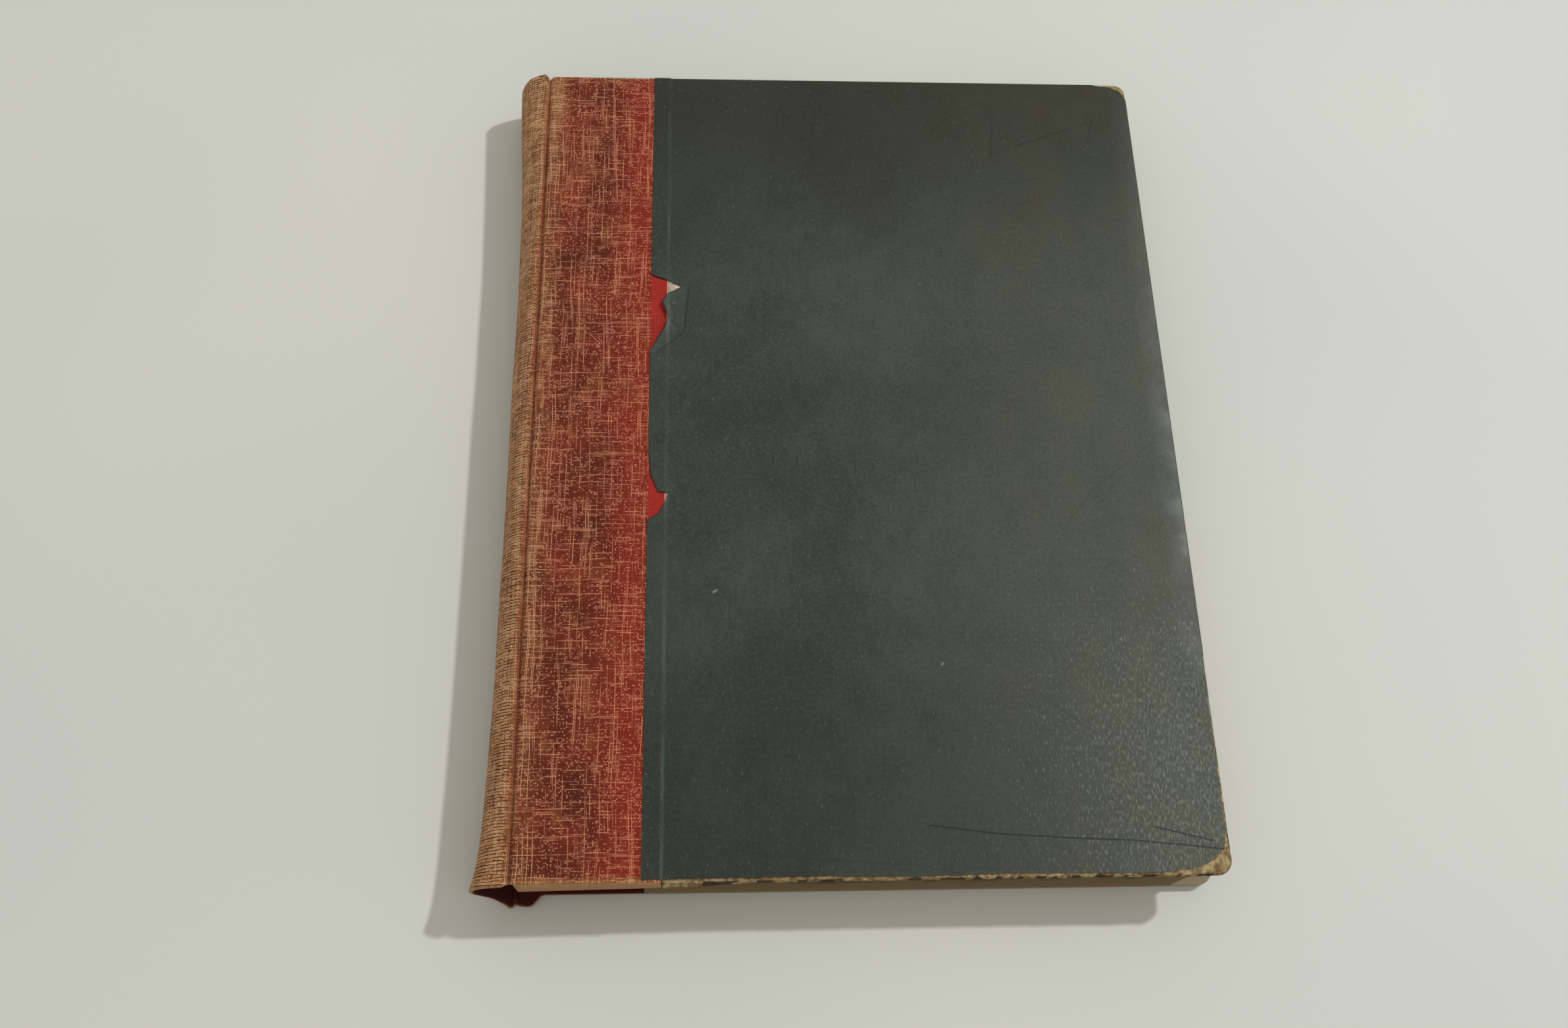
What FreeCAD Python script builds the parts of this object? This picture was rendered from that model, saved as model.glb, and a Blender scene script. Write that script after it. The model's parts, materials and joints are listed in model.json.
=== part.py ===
"""Hardback book, quarter bound: cloth spine, paper sides, lying on its back cover.

The case is two boards joined by one strip of cloth over a hollow back. The text block is sewn,
rounded and backed. Each cover turns on its joint, the crease in the cloth beside the spine.

Millimetres. X runs across the book from spine to fore edge, Y up the page from tail to head,
Z up from the table. The origin is the centre of the back board, on the face that the book
rests on.
"""
import FreeCAD
import Part
import math
import os

Vector = FreeCAD.Vector

# Boards
board_height = 252.0
board_width = 184.5
board_t = 2.5
board_corner_r = 3.5        # fore corners, bumped round by use
board_edge_r = 0.4
square = 3.0                # how far a board reaches past the pages

# Covering
cloth_t = 0.4
paper_t = 0.2
cloth_width = 32.2          # cloth that shows on a board
paper_lap = 5.0             # side paper pasted over the edge of the cloth
front_ridge = 0.15          # the cloth still stands this proud of the front board
back_ridge = 0.0            # the book's weight has pressed it flush at the back
turn_in = 15.0              # covering folded over the edge onto the inside of a board

# Endpapers and spine linings
end_t = 0.15
mull_t = 0.3
mull_wing = 22.0
mull_short = 14.0           # mull stops this far inside the ends of the block
lining_t = 0.2
liner_t = 0.4               # card that keeps the cloth spine round
glue_gap = 0.05
hollow = 0.7                # free space of the hollow back at mid height

# Text block
block_t = 14.6
leaf_gap = 0.25             # between the outer leaves and the pastedowns
fore_hollow = 2.8           # depth of the concave fore edge
gatherings = 16
fold_relief = 0.25          # dip between the folds of two gatherings
shoulder_set = 0.3          # the backed shoulder stands this far behind the crease

# Joint and spine
joint_gap = 1.2             # board edge to crease
crease_depth = 1.0
crease_slit = 0.3
crease_slope = 30.0         # groove walls, degrees from upright
shoulder_r = 0.9
board_shoulder_r = 1.2
spine_angle = 120.0         # the spine is a third of a circle
head_swell = 2.3            # the head cap stands out from the spine
head_reach = 36.0
tail_swell = 2.6            # the tail has been pulled open
tail_reach = 25.0
lip_flare = 1.0
lip_reach = 4.0
liner_rise = 0.2            # card and cloth reach this far past the boards
cap_rise = 1.4              # rounded head cap above the card
tail_drop = 1.4             # worn lip of cloth below the card
liner_margin = 0.95         # share of the spine's arc that the card covers
spine_spans = 12            # stretches that the spine is lofted in
fold_spans = 4
fold_end = math.radians(80) # the rounded folds stop short of a knife edge

# Places that follow from the sizes
half = block_t / 2 + leaf_gap + end_t + board_t + paper_t
z_mid = half
y_head = board_height / 2
y_tail = -board_height / 2
x_fore = board_width / 2
x_board = -board_width / 2
x_crease = x_board - joint_gap
x_paper = x_board + cloth_width
x_cloth_end = x_paper + paper_lap
z_leaf = z_mid + block_t / 2
z_in = z_leaf + leaf_gap + end_t
z_out = z_in + board_t
z_groove = z_out - crease_depth
block_head = y_head - square
block_tail = y_tail + square
half_spine = math.radians(spine_angle / 2)
slope = math.radians(crease_slope)

# Wear on the front side paper, as (across, up) from a named corner
upper_tear = [(0.0, 178.4), (4.6, 176.6), (9.1, 174.3), (4.9, 171.5), (3.4, 168.6), (5.4, 163.0),
              (4.2, 160.0), (0.0, 152.5)]
lower_tear = [(0.0, 120.6), (0.7, 112.9), (2.8, 107.4), (5.65, 107.0), (4.5, 103.5), (3.1, 100.7),
              (0.0, 98.9)]
worn_tail = [(0.0, 1.0), (0.28, 1.4), (0.53, 1.1), (0.71, 1.6), (0.95, 1.0)]  # share of the run
worn_corner = [(-17.3, 0.9), (-10.2, 1.5), (-6.0, 3.0), (-1.7, 6.3), (-0.8, 10.5), (-0.7, 17.0),
               (-0.4, 34.0), (-0.5, 52.0), (0.9, 70.0)]
worn_head_corner = [(0.9, -7.5), (-1.2, -5.4), (-3.6, -3.2), (-8.0, -1.4), (-12.0, 0.9)]


def moved(points, x, y):
    return [(x + across, y + up) for across, up in points]


def prism(points, z0, z1):
    """Upright prism over an outline in X and Y."""
    corners = [Vector(x, y, z0) for x, y in points]
    face = Part.Face(Part.makePolygon(corners + corners[:1]))
    return face.extrude(Vector(0, 0, z1 - z0))


def slab(x0, x1, y0, y1, z0, z1):
    return Part.makeBox(x1 - x0, y1 - y0, z1 - z0, Vector(x0, y0, z0))


def plate(x0, grow, z0, z1):
    """A board's outline grown evenly, rounded at its fore corners and along its outer edges."""
    x1 = x_fore + grow
    y0 = y_tail - grow
    y1 = y_head + grow
    solid = slab(x0, x1, y0, y1, z0, z1)
    corners = [e for e in solid.Edges if on_line(e, x1, y0) or on_line(e, x1, y1)]
    solid = solid.makeFillet(board_corner_r + grow, corners)
    rim = [e for e in solid.Edges if is_rim(e, x0, z1)]
    return solid.makeFillet(board_edge_r + grow, rim)


def on_line(edge, x, y):
    box = edge.BoundBox
    flat = box.XLength < 1e-6 and box.YLength < 1e-6
    return flat and abs(box.XMin - x) < 1e-6 and abs(box.YMin - y) < 1e-6


def on_plane(edge, x, z):
    """Straight edges along Y at (x, z)."""
    box = edge.BoundBox
    flat = box.XLength < 1e-6 and box.ZLength < 1e-6
    return flat and abs(box.XMin - x) < 1e-6 and abs(box.ZMin - z) < 1e-6


def is_rim(edge, x0, z1):
    """Edges of the top face, but for the straight one at x0."""
    box = edge.BoundBox
    return abs(box.ZMin - z1) < 1e-6 and abs(box.ZMax - z1) < 1e-6 and box.XMax > x0 + 1e-6


def polar(x, z, r, angle):
    """A point of the XZ plane, r from (x, z); angles turn from +X to +Z."""
    return (x + r * math.cos(angle), z + r * math.sin(angle))


def at(point, y):
    return Vector(point[0], y, point[1])


def wire(pieces, y):
    """A closed wire at height y; a piece of two points is a line and one of three is an arc."""
    edges = []
    for piece in pieces:
        ends = [at(p, y) for p in piece]
        if len(ends) == 2:
            edges.append(Part.LineSegment(*ends).toShape())
        else:
            edges.append(Part.Arc(*ends).toShape())
    return Part.Wire(edges)


def mirrored(pieces):
    """The same pieces reflected in the book's middle plane, in the opposite order."""
    return [[(x, 2 * z_mid - z) for x, z in reversed(piece)] for piece in reversed(pieces)]


def swell(y):
    """How far the spine stands out past its plain arc at height y."""
    head = head_swell * math.exp(-((y_head - y) / head_reach) ** 2)
    tail = tail_swell * math.exp(-(y - y_tail) / tail_reach)
    lip = lip_flare * math.exp(-(y - y_tail) / lip_reach)
    return head + tail + lip


# The outside of the spine at mid height: crease, shoulder, arc
z_crest = z_out - z_mid - shoulder_r * (1 - math.cos(math.pi / 2 - half_spine))
spine_r = z_crest / math.sin(half_spine)
spine_bulge = spine_r * (1 - math.cos(half_spine))
slit = crease_slit / 2
shoulder_z = z_mid + z_crest - shoulder_r * math.sin(half_spine)
wall_top = shoulder_r * math.sin(slope)
wall_run = (shoulder_z + wall_top - z_groove) * math.tan(slope)
shoulder_x = x_crease - slit - wall_run - shoulder_r * math.cos(slope)
x_crest = shoulder_x - shoulder_r * math.cos(half_spine)


def spine_circle(y):
    """Centre and radius of the cloth's outside at height y, and half the angle it spans."""
    bulge = spine_bulge + swell(y)
    r = (z_crest ** 2 + bulge ** 2) / (2 * bulge)
    centre = x_crest - bulge + r
    return centre, r, math.atan2(z_crest, centre - x_crest)


def spine_band(y, outer, inner, share=1.0):
    """Closed wire between two depths below the outside of the spine, arcs only."""
    centre, r, reach = spine_circle(y)
    reach = reach * share
    rings = []
    for depth in (outer, inner):
        rings.append([polar(centre, z_mid, r - depth, math.pi - a) for a in (reach, 0, -reach)])
    out, back = rings
    return wire([out, [out[2], back[2]], back[::-1], [back[0], out[0]]], y)


def spine_cloth_wire(y):
    """Closed wire of the cloth from crease to crease at height y."""
    centre, r, reach = spine_circle(y)
    shoulder_top = (slope + math.pi - half_spine) / 2
    drop = (shoulder_z + wall_top - z_groove) / math.cos(slope)
    runs = []
    for depth in (0.0, cloth_t):
        wall = polar(shoulder_x, shoulder_z, shoulder_r - depth, slope)
        bend = polar(shoulder_x, shoulder_z, shoulder_r - depth, shoulder_top)
        crest = polar(centre, z_mid, r - depth, math.pi - reach)
        foot = (wall[0] + drop * math.sin(slope), wall[1] - drop * math.cos(slope))
        upper = [[foot, wall], [wall, bend, crest]]
        lower = mirrored(upper)
        arc = [crest, (centre - r + depth, z_mid), lower[0][0]]
        runs.append(upper + [arc] + lower)
    out, back = runs
    back = [piece[::-1] for piece in back[::-1]]
    ends = [[out[-1][-1], back[0][0]], [back[-1][-1], out[0][0]]]
    return wire(out + ends[:1] + back + ends[1:], y)


def stations(y0, y1):
    """Heights to loft the spine through, closer together near its ends."""
    middle = (y0 + y1) / 2
    reach = (y1 - y0) / 2
    turns = [math.pi * i / spine_spans for i in range(spine_spans + 1)]
    return [middle - reach * math.cos(turn) for turn in turns]


def loft(wires):
    return Part.makeLoft(wires, True, True)


def folded_edge(y, way, length, depth):
    """The rounded fold where the spine cloth turns in over the end of the card."""
    wires = []
    for step in range(fold_spans + 1):
        lean = fold_end * step / fold_spans
        inset = depth / 2 * (1 - math.cos(lean))
        wires.append(spine_band(y + way * length * math.sin(lean), inset, depth - inset))
    return loft(wires)


# Depths below the outside of the spine
liner_out = cloth_t + glue_gap
liner_in = liner_out + liner_t
fold_in = liner_in + glue_gap + cloth_t
lining_out = liner_in + hollow
lining_in = lining_out + lining_t
mull_out = lining_in + glue_gap
mull_in = mull_out + mull_t
folds_out = mull_in + glue_gap

liner_head = y_head + liner_rise
liner_tail = y_tail - liner_rise


def make_spine_cloth(liner):
    """Strip of cloth over the hollow back, turned in round the card at head and tail."""
    band = loft([spine_cloth_wire(y) for y in stations(liner_tail, liner_head)])
    folds = []
    for edge, way, length in ((liner_head, 1, cap_rise), (liner_tail, -1, tail_drop)):
        folds.append(folded_edge(edge, way, length, fold_in))
        inside = [edge - way * turn_in * i / fold_spans for i in range(fold_spans + 1)]
        depth = liner_in + glue_gap
        folds.append(loft([spine_band(y, depth, fold_in, liner_margin) for y in inside]))
    return band.fuse(folds).removeSplitter().cut(liner)


def make_spine_liner():
    wires = [spine_band(y, liner_out, liner_in, liner_margin)
             for y in stations(liner_tail, liner_head)]
    return loft(wires)


def plain_band(outer, inner, y0, y1):
    """Sheet round the back of the pages, which don't swell with the cloth."""
    centre = x_crest - spine_bulge + spine_r
    rings = []
    for depth in (outer, inner):
        angles = (half_spine, 0, -half_spine)
        rings.append([polar(centre, z_mid, spine_r - depth, math.pi - a) for a in angles])
    out, back = rings
    ring = wire([out, [out[2], back[2]], back[::-1], [back[0], out[0]]], y0)
    return Part.Face(ring).extrude(Vector(0, y1 - y0, 0))


def make_text_block():
    """The sewn pages: folds of the gatherings round the spine, shoulders, hollow fore edge."""
    centre = x_crest - spine_bulge + spine_r
    fold_r = spine_r - folds_out
    step = 2 * half_spine / gatherings
    pieces = []
    for i in range(gatherings):
        start = math.pi - half_spine + i * step
        fold = [polar(centre, z_mid, fold_r - fold_relief, start),
                polar(centre, z_mid, fold_r, start + step / 2),
                polar(centre, z_mid, fold_r - fold_relief, start + step)]
        pieces.append(fold)
    root = x_crease - shoulder_set
    x_leaf = x_fore - square
    low = [pieces[-1][-1], (root, z_mid - block_t / 2)]
    bottom = [low[1], (x_leaf, z_mid - block_t / 2)]
    fore = [bottom[1], (x_leaf - fore_hollow, z_mid), (x_leaf, z_mid + block_t / 2)]
    top = [fore[2], (root, z_mid + block_t / 2)]
    high = [top[1], pieces[0][0]]
    outline = wire(pieces + [low, bottom, fore, top, high], block_tail)
    return Part.Face(outline).extrude(Vector(0, block_head - block_tail, 0))


def cover_cloth(ridge):
    """The cloth on one board, from the crease to under the side paper, turned in at both ends."""
    top = z_out + ridge
    turn_x = x_crease + slit + board_shoulder_r * math.cos(slope)
    turn_z = top - board_shoulder_r
    wall_end = turn_z + board_shoulder_r * math.sin(slope)
    drop = (wall_end - z_groove) / math.cos(slope)
    turn_x = turn_x + drop * math.sin(slope)
    side = math.pi - slope
    middle = (side + math.pi / 2) / 2
    runs = []
    for depth in (0.0, cloth_t):
        r = board_shoulder_r - depth
        wall = polar(turn_x, turn_z, r, side)
        foot = (wall[0] - drop * math.sin(slope), wall[1] - drop * math.cos(slope))
        crown = (turn_x, top - depth)
        bend = polar(turn_x, turn_z, r, middle)
        runs.append([[(x_cloth_end, top - depth), crown], [crown, bend, wall], [wall, foot]])
    out, back = runs
    back = [piece[::-1] for piece in back[::-1]]
    y0 = y_tail - ridge
    y1 = y_head + ridge
    ring = wire(out + [[out[-1][-1], back[0][0]]] + back + [[back[-1][-1], out[0][0]]], y0)
    sheet = Part.Face(ring).extrude(Vector(0, y1 - y0, 0))
    wraps = []
    for edge, inner in ((y0, y0 + cloth_t), (y1, y1 - cloth_t)):
        low, high = sorted((edge, inner))
        wraps.append(slab(x_board, x_cloth_end, low, high, z_in, top - cloth_t / 2))
        low, high = sorted((edge, edge + math.copysign(turn_in, inner - edge)))
        wraps.append(slab(x_board, x_cloth_end, low, high, z_in, z_in + cloth_t))
    return sheet.fuse(wraps).removeSplitter()


def side_paper(ridge):
    """The sheet over the rest of one board, turned in on three sides, lapping the cloth."""
    field = plate(x_paper, paper_t, z_in, z_out + paper_t)
    strip = slab(x_paper, x_cloth_end, y_tail - ridge - paper_t, y_head + ridge + paper_t,
                  z_in, z_out + ridge + paper_t)
    core = plate(x_paper - paper_lap, 0.0, z_in + paper_t, z_out)
    strip_core = slab(x_paper - paper_lap, x_cloth_end, y_tail - ridge, y_head + ridge,
                       z_in + paper_t, z_out + ridge)
    window = slab(x_paper - paper_lap, x_fore - turn_in, y_tail + turn_in, y_head - turn_in,
                   z_in - board_t, z_in + board_t)
    return field.fuse(strip).cut([core, strip_core, window]).removeSplitter()


def paper_outline():
    """What is left of the front side paper, seen from above. It runs outside the board where
    the paper still wraps the edge."""
    clear = board_t
    tears = moved(upper_tear, x_paper, y_tail) + moved(lower_tear, x_paper, y_tail)
    run = x_fore + worn_corner[0][0] - x_paper
    tail = [(x_paper + share * run, y_tail + up) for share, up in worn_tail]
    tail += moved(worn_corner, x_fore, y_tail)
    right = [(x_fore + clear, y_tail + worn_corner[-1][1]),
             (x_fore + clear, y_head + worn_head_corner[0][1])]
    head = moved(worn_head_corner, x_fore, y_head)
    left = [(x_fore + worn_head_corner[-1][0], y_head + clear), (x_paper, y_head + clear)]
    return tears + tail + right + head + left


def make_cover(ridge, worn):
    """The nodes of one cover as it lies on top of the pages."""
    paper = side_paper(ridge)
    if worn:
        paper = paper.common(prism(paper_outline(), z_in - board_t, z_out + board_t))
    cloth = cover_cloth(ridge).cut(side_paper(ridge))
    wing = slab(x_board, x_board + mull_wing, block_tail + mull_short, block_head - mull_short,
                 z_in, z_in + mull_t)
    board = plate(x_board, 0.0, z_in, z_out)
    arris = [e for e in board.Edges if on_plane(e, x_board, z_out)]
    board = board.makeFillet(board_shoulder_r, arris).cut([paper, cloth, wing])
    pastedown = slab(x_board, x_fore - square, block_tail, block_head, z_in - end_t, z_in)
    return {"board": board, "cloth": cloth, "side_paper": paper, "mull_wing": wing,
            "pastedown": pastedown}


def make_nodes():
    liner = make_spine_liner()
    nodes = {
        "text_block": make_text_block(),
        "spine_mull": plain_band(mull_out, mull_in, block_tail + mull_short,
                                 block_head - mull_short),
        "spine_lining": plain_band(lining_out, lining_in, block_tail, block_head),
        "spine_liner": liner,
        "spine_cloth": make_spine_cloth(liner),
    }
    for name, shape in make_cover(front_ridge, True).items():
        nodes["front_" + name] = shape
    for name, shape in make_cover(back_ridge, False).items():
        nodes["back_" + name] = shape.mirror(Vector(0, 0, z_mid), Vector(0, 0, 1))
    return nodes


os.makedirs("parts", exist_ok=True)
for name, shape in make_nodes().items():
    print(name, shape.ShapeType, len(shape.Solids), round(shape.Volume, 1), shape.isValid())
    shape.exportStep("parts/" + name + ".step")
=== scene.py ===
# %% [markdown]
# # A quarter-bound hardback book
# The book has a faded red cloth spine and dark green paper sides, and it lies on its back cover.
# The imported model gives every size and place, so it is loaded first and nothing in it is moved.

# %% Load the frame
import json
import math
import random

import bpy
import bmesh
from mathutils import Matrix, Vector, noise


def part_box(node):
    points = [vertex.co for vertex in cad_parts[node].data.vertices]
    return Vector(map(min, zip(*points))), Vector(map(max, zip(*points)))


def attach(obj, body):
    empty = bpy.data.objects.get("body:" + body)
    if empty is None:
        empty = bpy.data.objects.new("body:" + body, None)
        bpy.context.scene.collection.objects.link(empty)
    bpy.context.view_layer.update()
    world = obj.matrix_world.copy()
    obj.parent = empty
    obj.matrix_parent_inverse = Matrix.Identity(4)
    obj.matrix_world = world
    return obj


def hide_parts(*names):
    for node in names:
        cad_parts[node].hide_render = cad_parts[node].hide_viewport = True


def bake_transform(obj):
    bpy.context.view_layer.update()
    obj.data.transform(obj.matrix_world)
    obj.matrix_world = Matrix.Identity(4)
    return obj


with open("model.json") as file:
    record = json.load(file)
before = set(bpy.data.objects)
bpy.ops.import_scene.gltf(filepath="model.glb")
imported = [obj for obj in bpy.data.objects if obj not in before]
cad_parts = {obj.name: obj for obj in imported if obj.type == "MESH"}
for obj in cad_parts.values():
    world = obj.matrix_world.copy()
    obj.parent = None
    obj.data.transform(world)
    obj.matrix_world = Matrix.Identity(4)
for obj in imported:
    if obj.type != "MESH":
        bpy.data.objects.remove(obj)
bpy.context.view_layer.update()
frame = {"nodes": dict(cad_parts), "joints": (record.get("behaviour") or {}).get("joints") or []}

# %% [markdown]
# The places of the book's parts are read from the frame. X runs from the spine to the fore edge,
# Y from tail to head and Z up. Blender works in metres, and `MM` lets a size be written in
# millimetres, which is how a binder thinks of it. `LEFT` to `MIDDLE` are places on the cover in
# millimetres, for the materials. Two points that are closer than `TINY` count as one.

# %% Places from the frame
MM = 0.001
TINY = 1e-6
hinge_x = frame["joints"][0]["pos_m"][0]
x_board, y_tail, z_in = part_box("front_board")[0]
x_fore, y_head, z_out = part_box("front_board")[1]
x_cloth_end, _, cloth_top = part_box("front_cloth")[1]
x_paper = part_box("front_side_paper")[0].x
block_low, block_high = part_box("text_block")
z_mid = (block_low.z + block_high.z) / 2
LEFT, RIGHT, TAIL, HEAD, MIDDLE = [n / MM for n in (x_paper, x_fore, y_tail, y_head, z_mid)]
cloth_t = 0.4 * MM
paper_t = 0.2 * MM
turn_in = 15 * MM
print("board", round(x_fore - x_board, 4), "by", round(y_head - y_tail, 4))

# %% [markdown]
# ## The view
# The camera looks down on the book from the tail, as the photographer did. Its place, tilt and
# lens were solved from the four corners of the cover and its known proportions.

# %% Camera
CAMERA_PLACE = (-42.5 * MM, -177.6 * MM, 386.2 * MM)
CAMERA_TURN = (22.641, -2.733, -1.213)
CAMERA_LENS = 32.4

bpy.ops.object.select_all(action="DESELECT")
bpy.ops.object.camera_add(location=CAMERA_PLACE,
                          rotation=[math.radians(turn) for turn in CAMERA_TURN])
camera = bpy.context.object
camera.data.lens = CAMERA_LENS
camera.data.clip_start = 10 * MM
bpy.context.scene.camera = camera
print("camera at", [round(n, 3) for n in camera.location])

# %% [markdown]
# ## Colours and nodes
# Colours are written as sRGB hex values, as a colour picker gives them. Blender wants linear
# values, so one function turns them. A new material comes with one small function of its own,
# which adds a node with its settings and links and hands back its first output, so that nodes
# can be chained. A node that calculates is asked for with its operation, as "Math MULTIPLY".

# %% Helpers for materials
SOFT = {"interpolation_type": "SMOOTHSTEP"}


def linear(hex_colour):
    """Linear RGBA of an sRGB hex value."""
    parts = [int(hex_colour[i:i + 2], 16) / 255 for i in (1, 3, 5)]
    return [c / 12.92 if c <= 0.04045 else ((c + 0.055) / 1.055) ** 2.4 for c in parts] + [1.0]


def new_material(name, roughness):
    """A material, its surface shader, and the function that adds nodes to it."""
    print("material", name)
    material = bpy.data.materials.new(name)
    material.use_nodes = True
    tree = material.node_tree
    skin = tree.nodes["Principled BSDF"]
    skin.inputs["Roughness"].default_value = roughness

    def add(kind, values, stops=(), **settings):
        """Adds a node. A value is a number, a colour or an output; stops are those of a ramp."""
        kind, _, operation = kind.partition(" ")
        node = tree.nodes.new("ShaderNode" + kind)
        if operation:
            node.operation = operation
        for setting, choice in settings.items():
            setattr(node, setting, choice)
        for socket, value in enumerate(values):
            if isinstance(value, bpy.types.NodeSocket):
                tree.links.new(value, node.inputs[socket])
            elif value is not None:
                colour = isinstance(value, str)
                node.inputs[socket].default_value = linear(value) if colour else value
        for number, (place, colour) in enumerate(stops):
            marks = node.color_ramp.elements
            if number == 0:
                marks.remove(marks[1])
                marks[0].position = place
                mark = marks[0]
            else:
                mark = marks.new(place)
            mark.color = linear(colour)
        return node.outputs[0]

    return material, skin, add


def join(output, skin, socket):
    """Links a finished colour or number to the surface shader."""
    skin.id_data.links.new(output, skin.inputs[socket])


def place_mm(add):
    """Where a point lies on the book, in millimetres."""
    spot = add("TexCoord", []).node.outputs["Object"]
    return add("VectorMath SCALE", [spot, None, None, 1 / MM])


def clouds(add, place, size, detail=2.0, stretch=(1, 1, 1)):
    """Noise whose patches are about size millimetres across."""
    scale = [1 / (size * s) for s in stretch]
    place = add("VectorMath MULTIPLY", [place, scale])
    return add("TexNoise", [place, None, 1.0, detail])


def tinted(add, colour, layers):
    """Lays tints over a colour, one over the other, each as strongly as its mask says."""
    for mask, tint in layers:
        colour = add("MixRGB", [mask, colour, tint])
    return colour


def relief(add, skin, height, depth_mm):
    """Lights the surface as if height stood out by depth_mm."""
    join(add("Bump", [0.9, depth_mm * MM, height]), skin, "Normal")


# %% [markdown]
# ## Table and light
# The book lies on a plain pale table. The light in the photo is a soft window light from the
# right and behind, so a small lamp three and a half metres away gives the clear shadow at the left
# and at the tail and the slow fall of the light to the left. The world gives the even light of
# the room, which is the stronger of the two.

# %% Table
def pale_table():
    """Matt painted table. From below it isn't drawn, so that the back cover can be looked at."""
    material, skin, add = new_material("matt painted table", 0.7)
    tone = clouds(add, place_mm(add), 180, 1.0)
    join(add("ValToRGB", [tone], [(0.3, "#c2c8c4"), (0.7, "#c8cdc9")]), skin, "Base Color")
    clear = add("BsdfTransparent", [])
    back = add("NewGeometry", []).node.outputs["Backfacing"]
    both = add("MixShader", [back, skin.outputs[0], clear])
    material.node_tree.links.new(both, material.node_tree.nodes["Material Output"].inputs[0])
    return material


bpy.ops.object.select_all(action="DESELECT")
bpy.ops.mesh.primitive_plane_add(size=4.0, location=(0, 0, 0))
table = bpy.context.object
table.name = "table"
table.data.materials.append(pale_table())
print("table", [round(n, 1) for n in table.dimensions])

# %% Light
WINDOW_FROM = Vector((0.61, 0.32, 0.72)).normalized()
WINDOW_AWAY = 3.5
WINDOW_WIDTH = 0.16
WINDOW_WATTS = 66
ROOM_STRENGTH = 0.66

bpy.ops.object.light_add(type="AREA", location=WINDOW_FROM * WINDOW_AWAY)
window = bpy.context.object
window.rotation_euler = WINDOW_FROM.to_track_quat("Z", "Y").to_euler()
window.data.shape = "DISK"
window.data.size = WINDOW_WIDTH
window.data.energy = WINDOW_WATTS
world = bpy.data.worlds.new("room")
world.use_nodes = True
world.node_tree.nodes["Background"].inputs[0].default_value = linear("#fff6ec")
world.node_tree.nodes["Background"].inputs[1].default_value = ROOM_STRENGTH
bpy.context.scene.world = world
bpy.context.scene.view_settings.view_transform = "Standard"
print("window light at", [round(n, 2) for n in window.location])

# %% [markdown]
# ## Helpers for modelling
# A primitive is added with nothing else selected, because an operator acts on all that is
# selected. Edges and faces are then picked in code by their place. A mesh is cut into a grid with
# bisect, one plane at a time, so that it can follow a worn or bent surface.

# %% Modelling helpers
def edit(piece, mode):
    """Makes the piece the active one and goes into edit mode, with nothing selected."""
    bpy.ops.object.select_all(action="DESELECT")
    bpy.context.view_layer.objects.active = piece
    piece.select_set(True)
    bpy.ops.object.mode_set(mode="EDIT")
    bpy.ops.mesh.select_mode(type=mode)
    bpy.ops.mesh.select_all(action="DESELECT")


def pick(piece, kind, test):
    """In edit mode, selects the edges or faces that pass a test of their middle and themselves."""
    mesh = bmesh.from_edit_mesh(piece.data)
    for part in getattr(mesh, kind):
        middle = sum((v.co for v in part.verts), Vector()) / len(part.verts)
        if test(middle, part):
            part.select = True
    mesh.select_flush_mode()
    bmesh.update_edit_mesh(piece.data)


def flat_grid(columns, rows):
    """A flat grid of faces one metre wide, and each of its points with its column and row."""
    bpy.ops.object.select_all(action="DESELECT")
    bpy.ops.mesh.primitive_grid_add(x_subdivisions=columns, y_subdivisions=rows, size=1.0,
                                    location=(0, 0, 0))
    grid = bpy.context.object
    places = [(v, round((v.co.x + 0.5) * columns), round((v.co.y + 0.5) * rows))
              for v in grid.data.vertices]
    return grid, places


def cut_across(piece, axis, places, region=None):
    """Bisects the piece square to an axis at each place; region limits which faces are cut."""
    normal = [1.0 if axis == i else 0.0 for i in range(3)]
    for place in places:
        bpy.ops.mesh.select_all(action="DESELECT" if region else "SELECT")
        if region:
            pick(piece, "faces", region)
        point = [place if axis == i else 0.0 for i in range(3)]
        bpy.ops.mesh.bisect(plane_co=point, plane_no=normal)


def evenly(low, high, step):
    """Places from low to high, about a step apart, without the ends."""
    count = max(1, round((high - low) / step))
    return [low + (high - low) * i / count for i in range(1, count)]


def shape(piece, move):
    """Moves each vertex to where move(place) says."""
    for v in piece.data.vertices:
        v.co = move(v.co.copy())
    piece.data.update()


def apply_modifier(piece, kind, **settings):
    """Adds a modifier with its settings and applies it."""
    bpy.context.view_layer.objects.active = piece
    modifier = piece.modifiers.new(kind.lower(), kind)
    for name, value in settings.items():
        setattr(modifier, name, value)
    bpy.ops.object.modifier_apply(modifier=modifier.name)


def finish_piece(piece, name, material, degrees):
    """Puts a piece's place into its mesh, names it, and gives it its finish and its shading."""
    bpy.ops.object.select_all(action="DESELECT")
    bpy.context.view_layer.objects.active = piece
    piece.select_set(True)
    bpy.ops.object.transform_apply(location=True, rotation=True, scale=True)
    bpy.ops.object.shade_smooth_by_angle(angle=math.radians(degrees))
    piece.name = name
    piece.data.name = name
    piece.data.materials.clear()
    piece.data.materials.append(material)
    print(name, len(piece.data.polygons), "faces")


def flip(piece):
    """Turns all faces of the piece over."""
    edit(piece, "FACE")
    bpy.ops.mesh.select_all(action="SELECT")
    bpy.ops.mesh.flip_normals()
    bpy.ops.object.mode_set(mode="OBJECT")


def between(value, low, high):
    """0 below low, 1 above high and straight between."""
    return min(1.0, max(0.0, (value - low) / (high - low)))


def eased(value, low, high):
    """As between, with soft ends."""
    share = between(value, low, high)
    return share * share * (3 - 2 * share)


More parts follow.
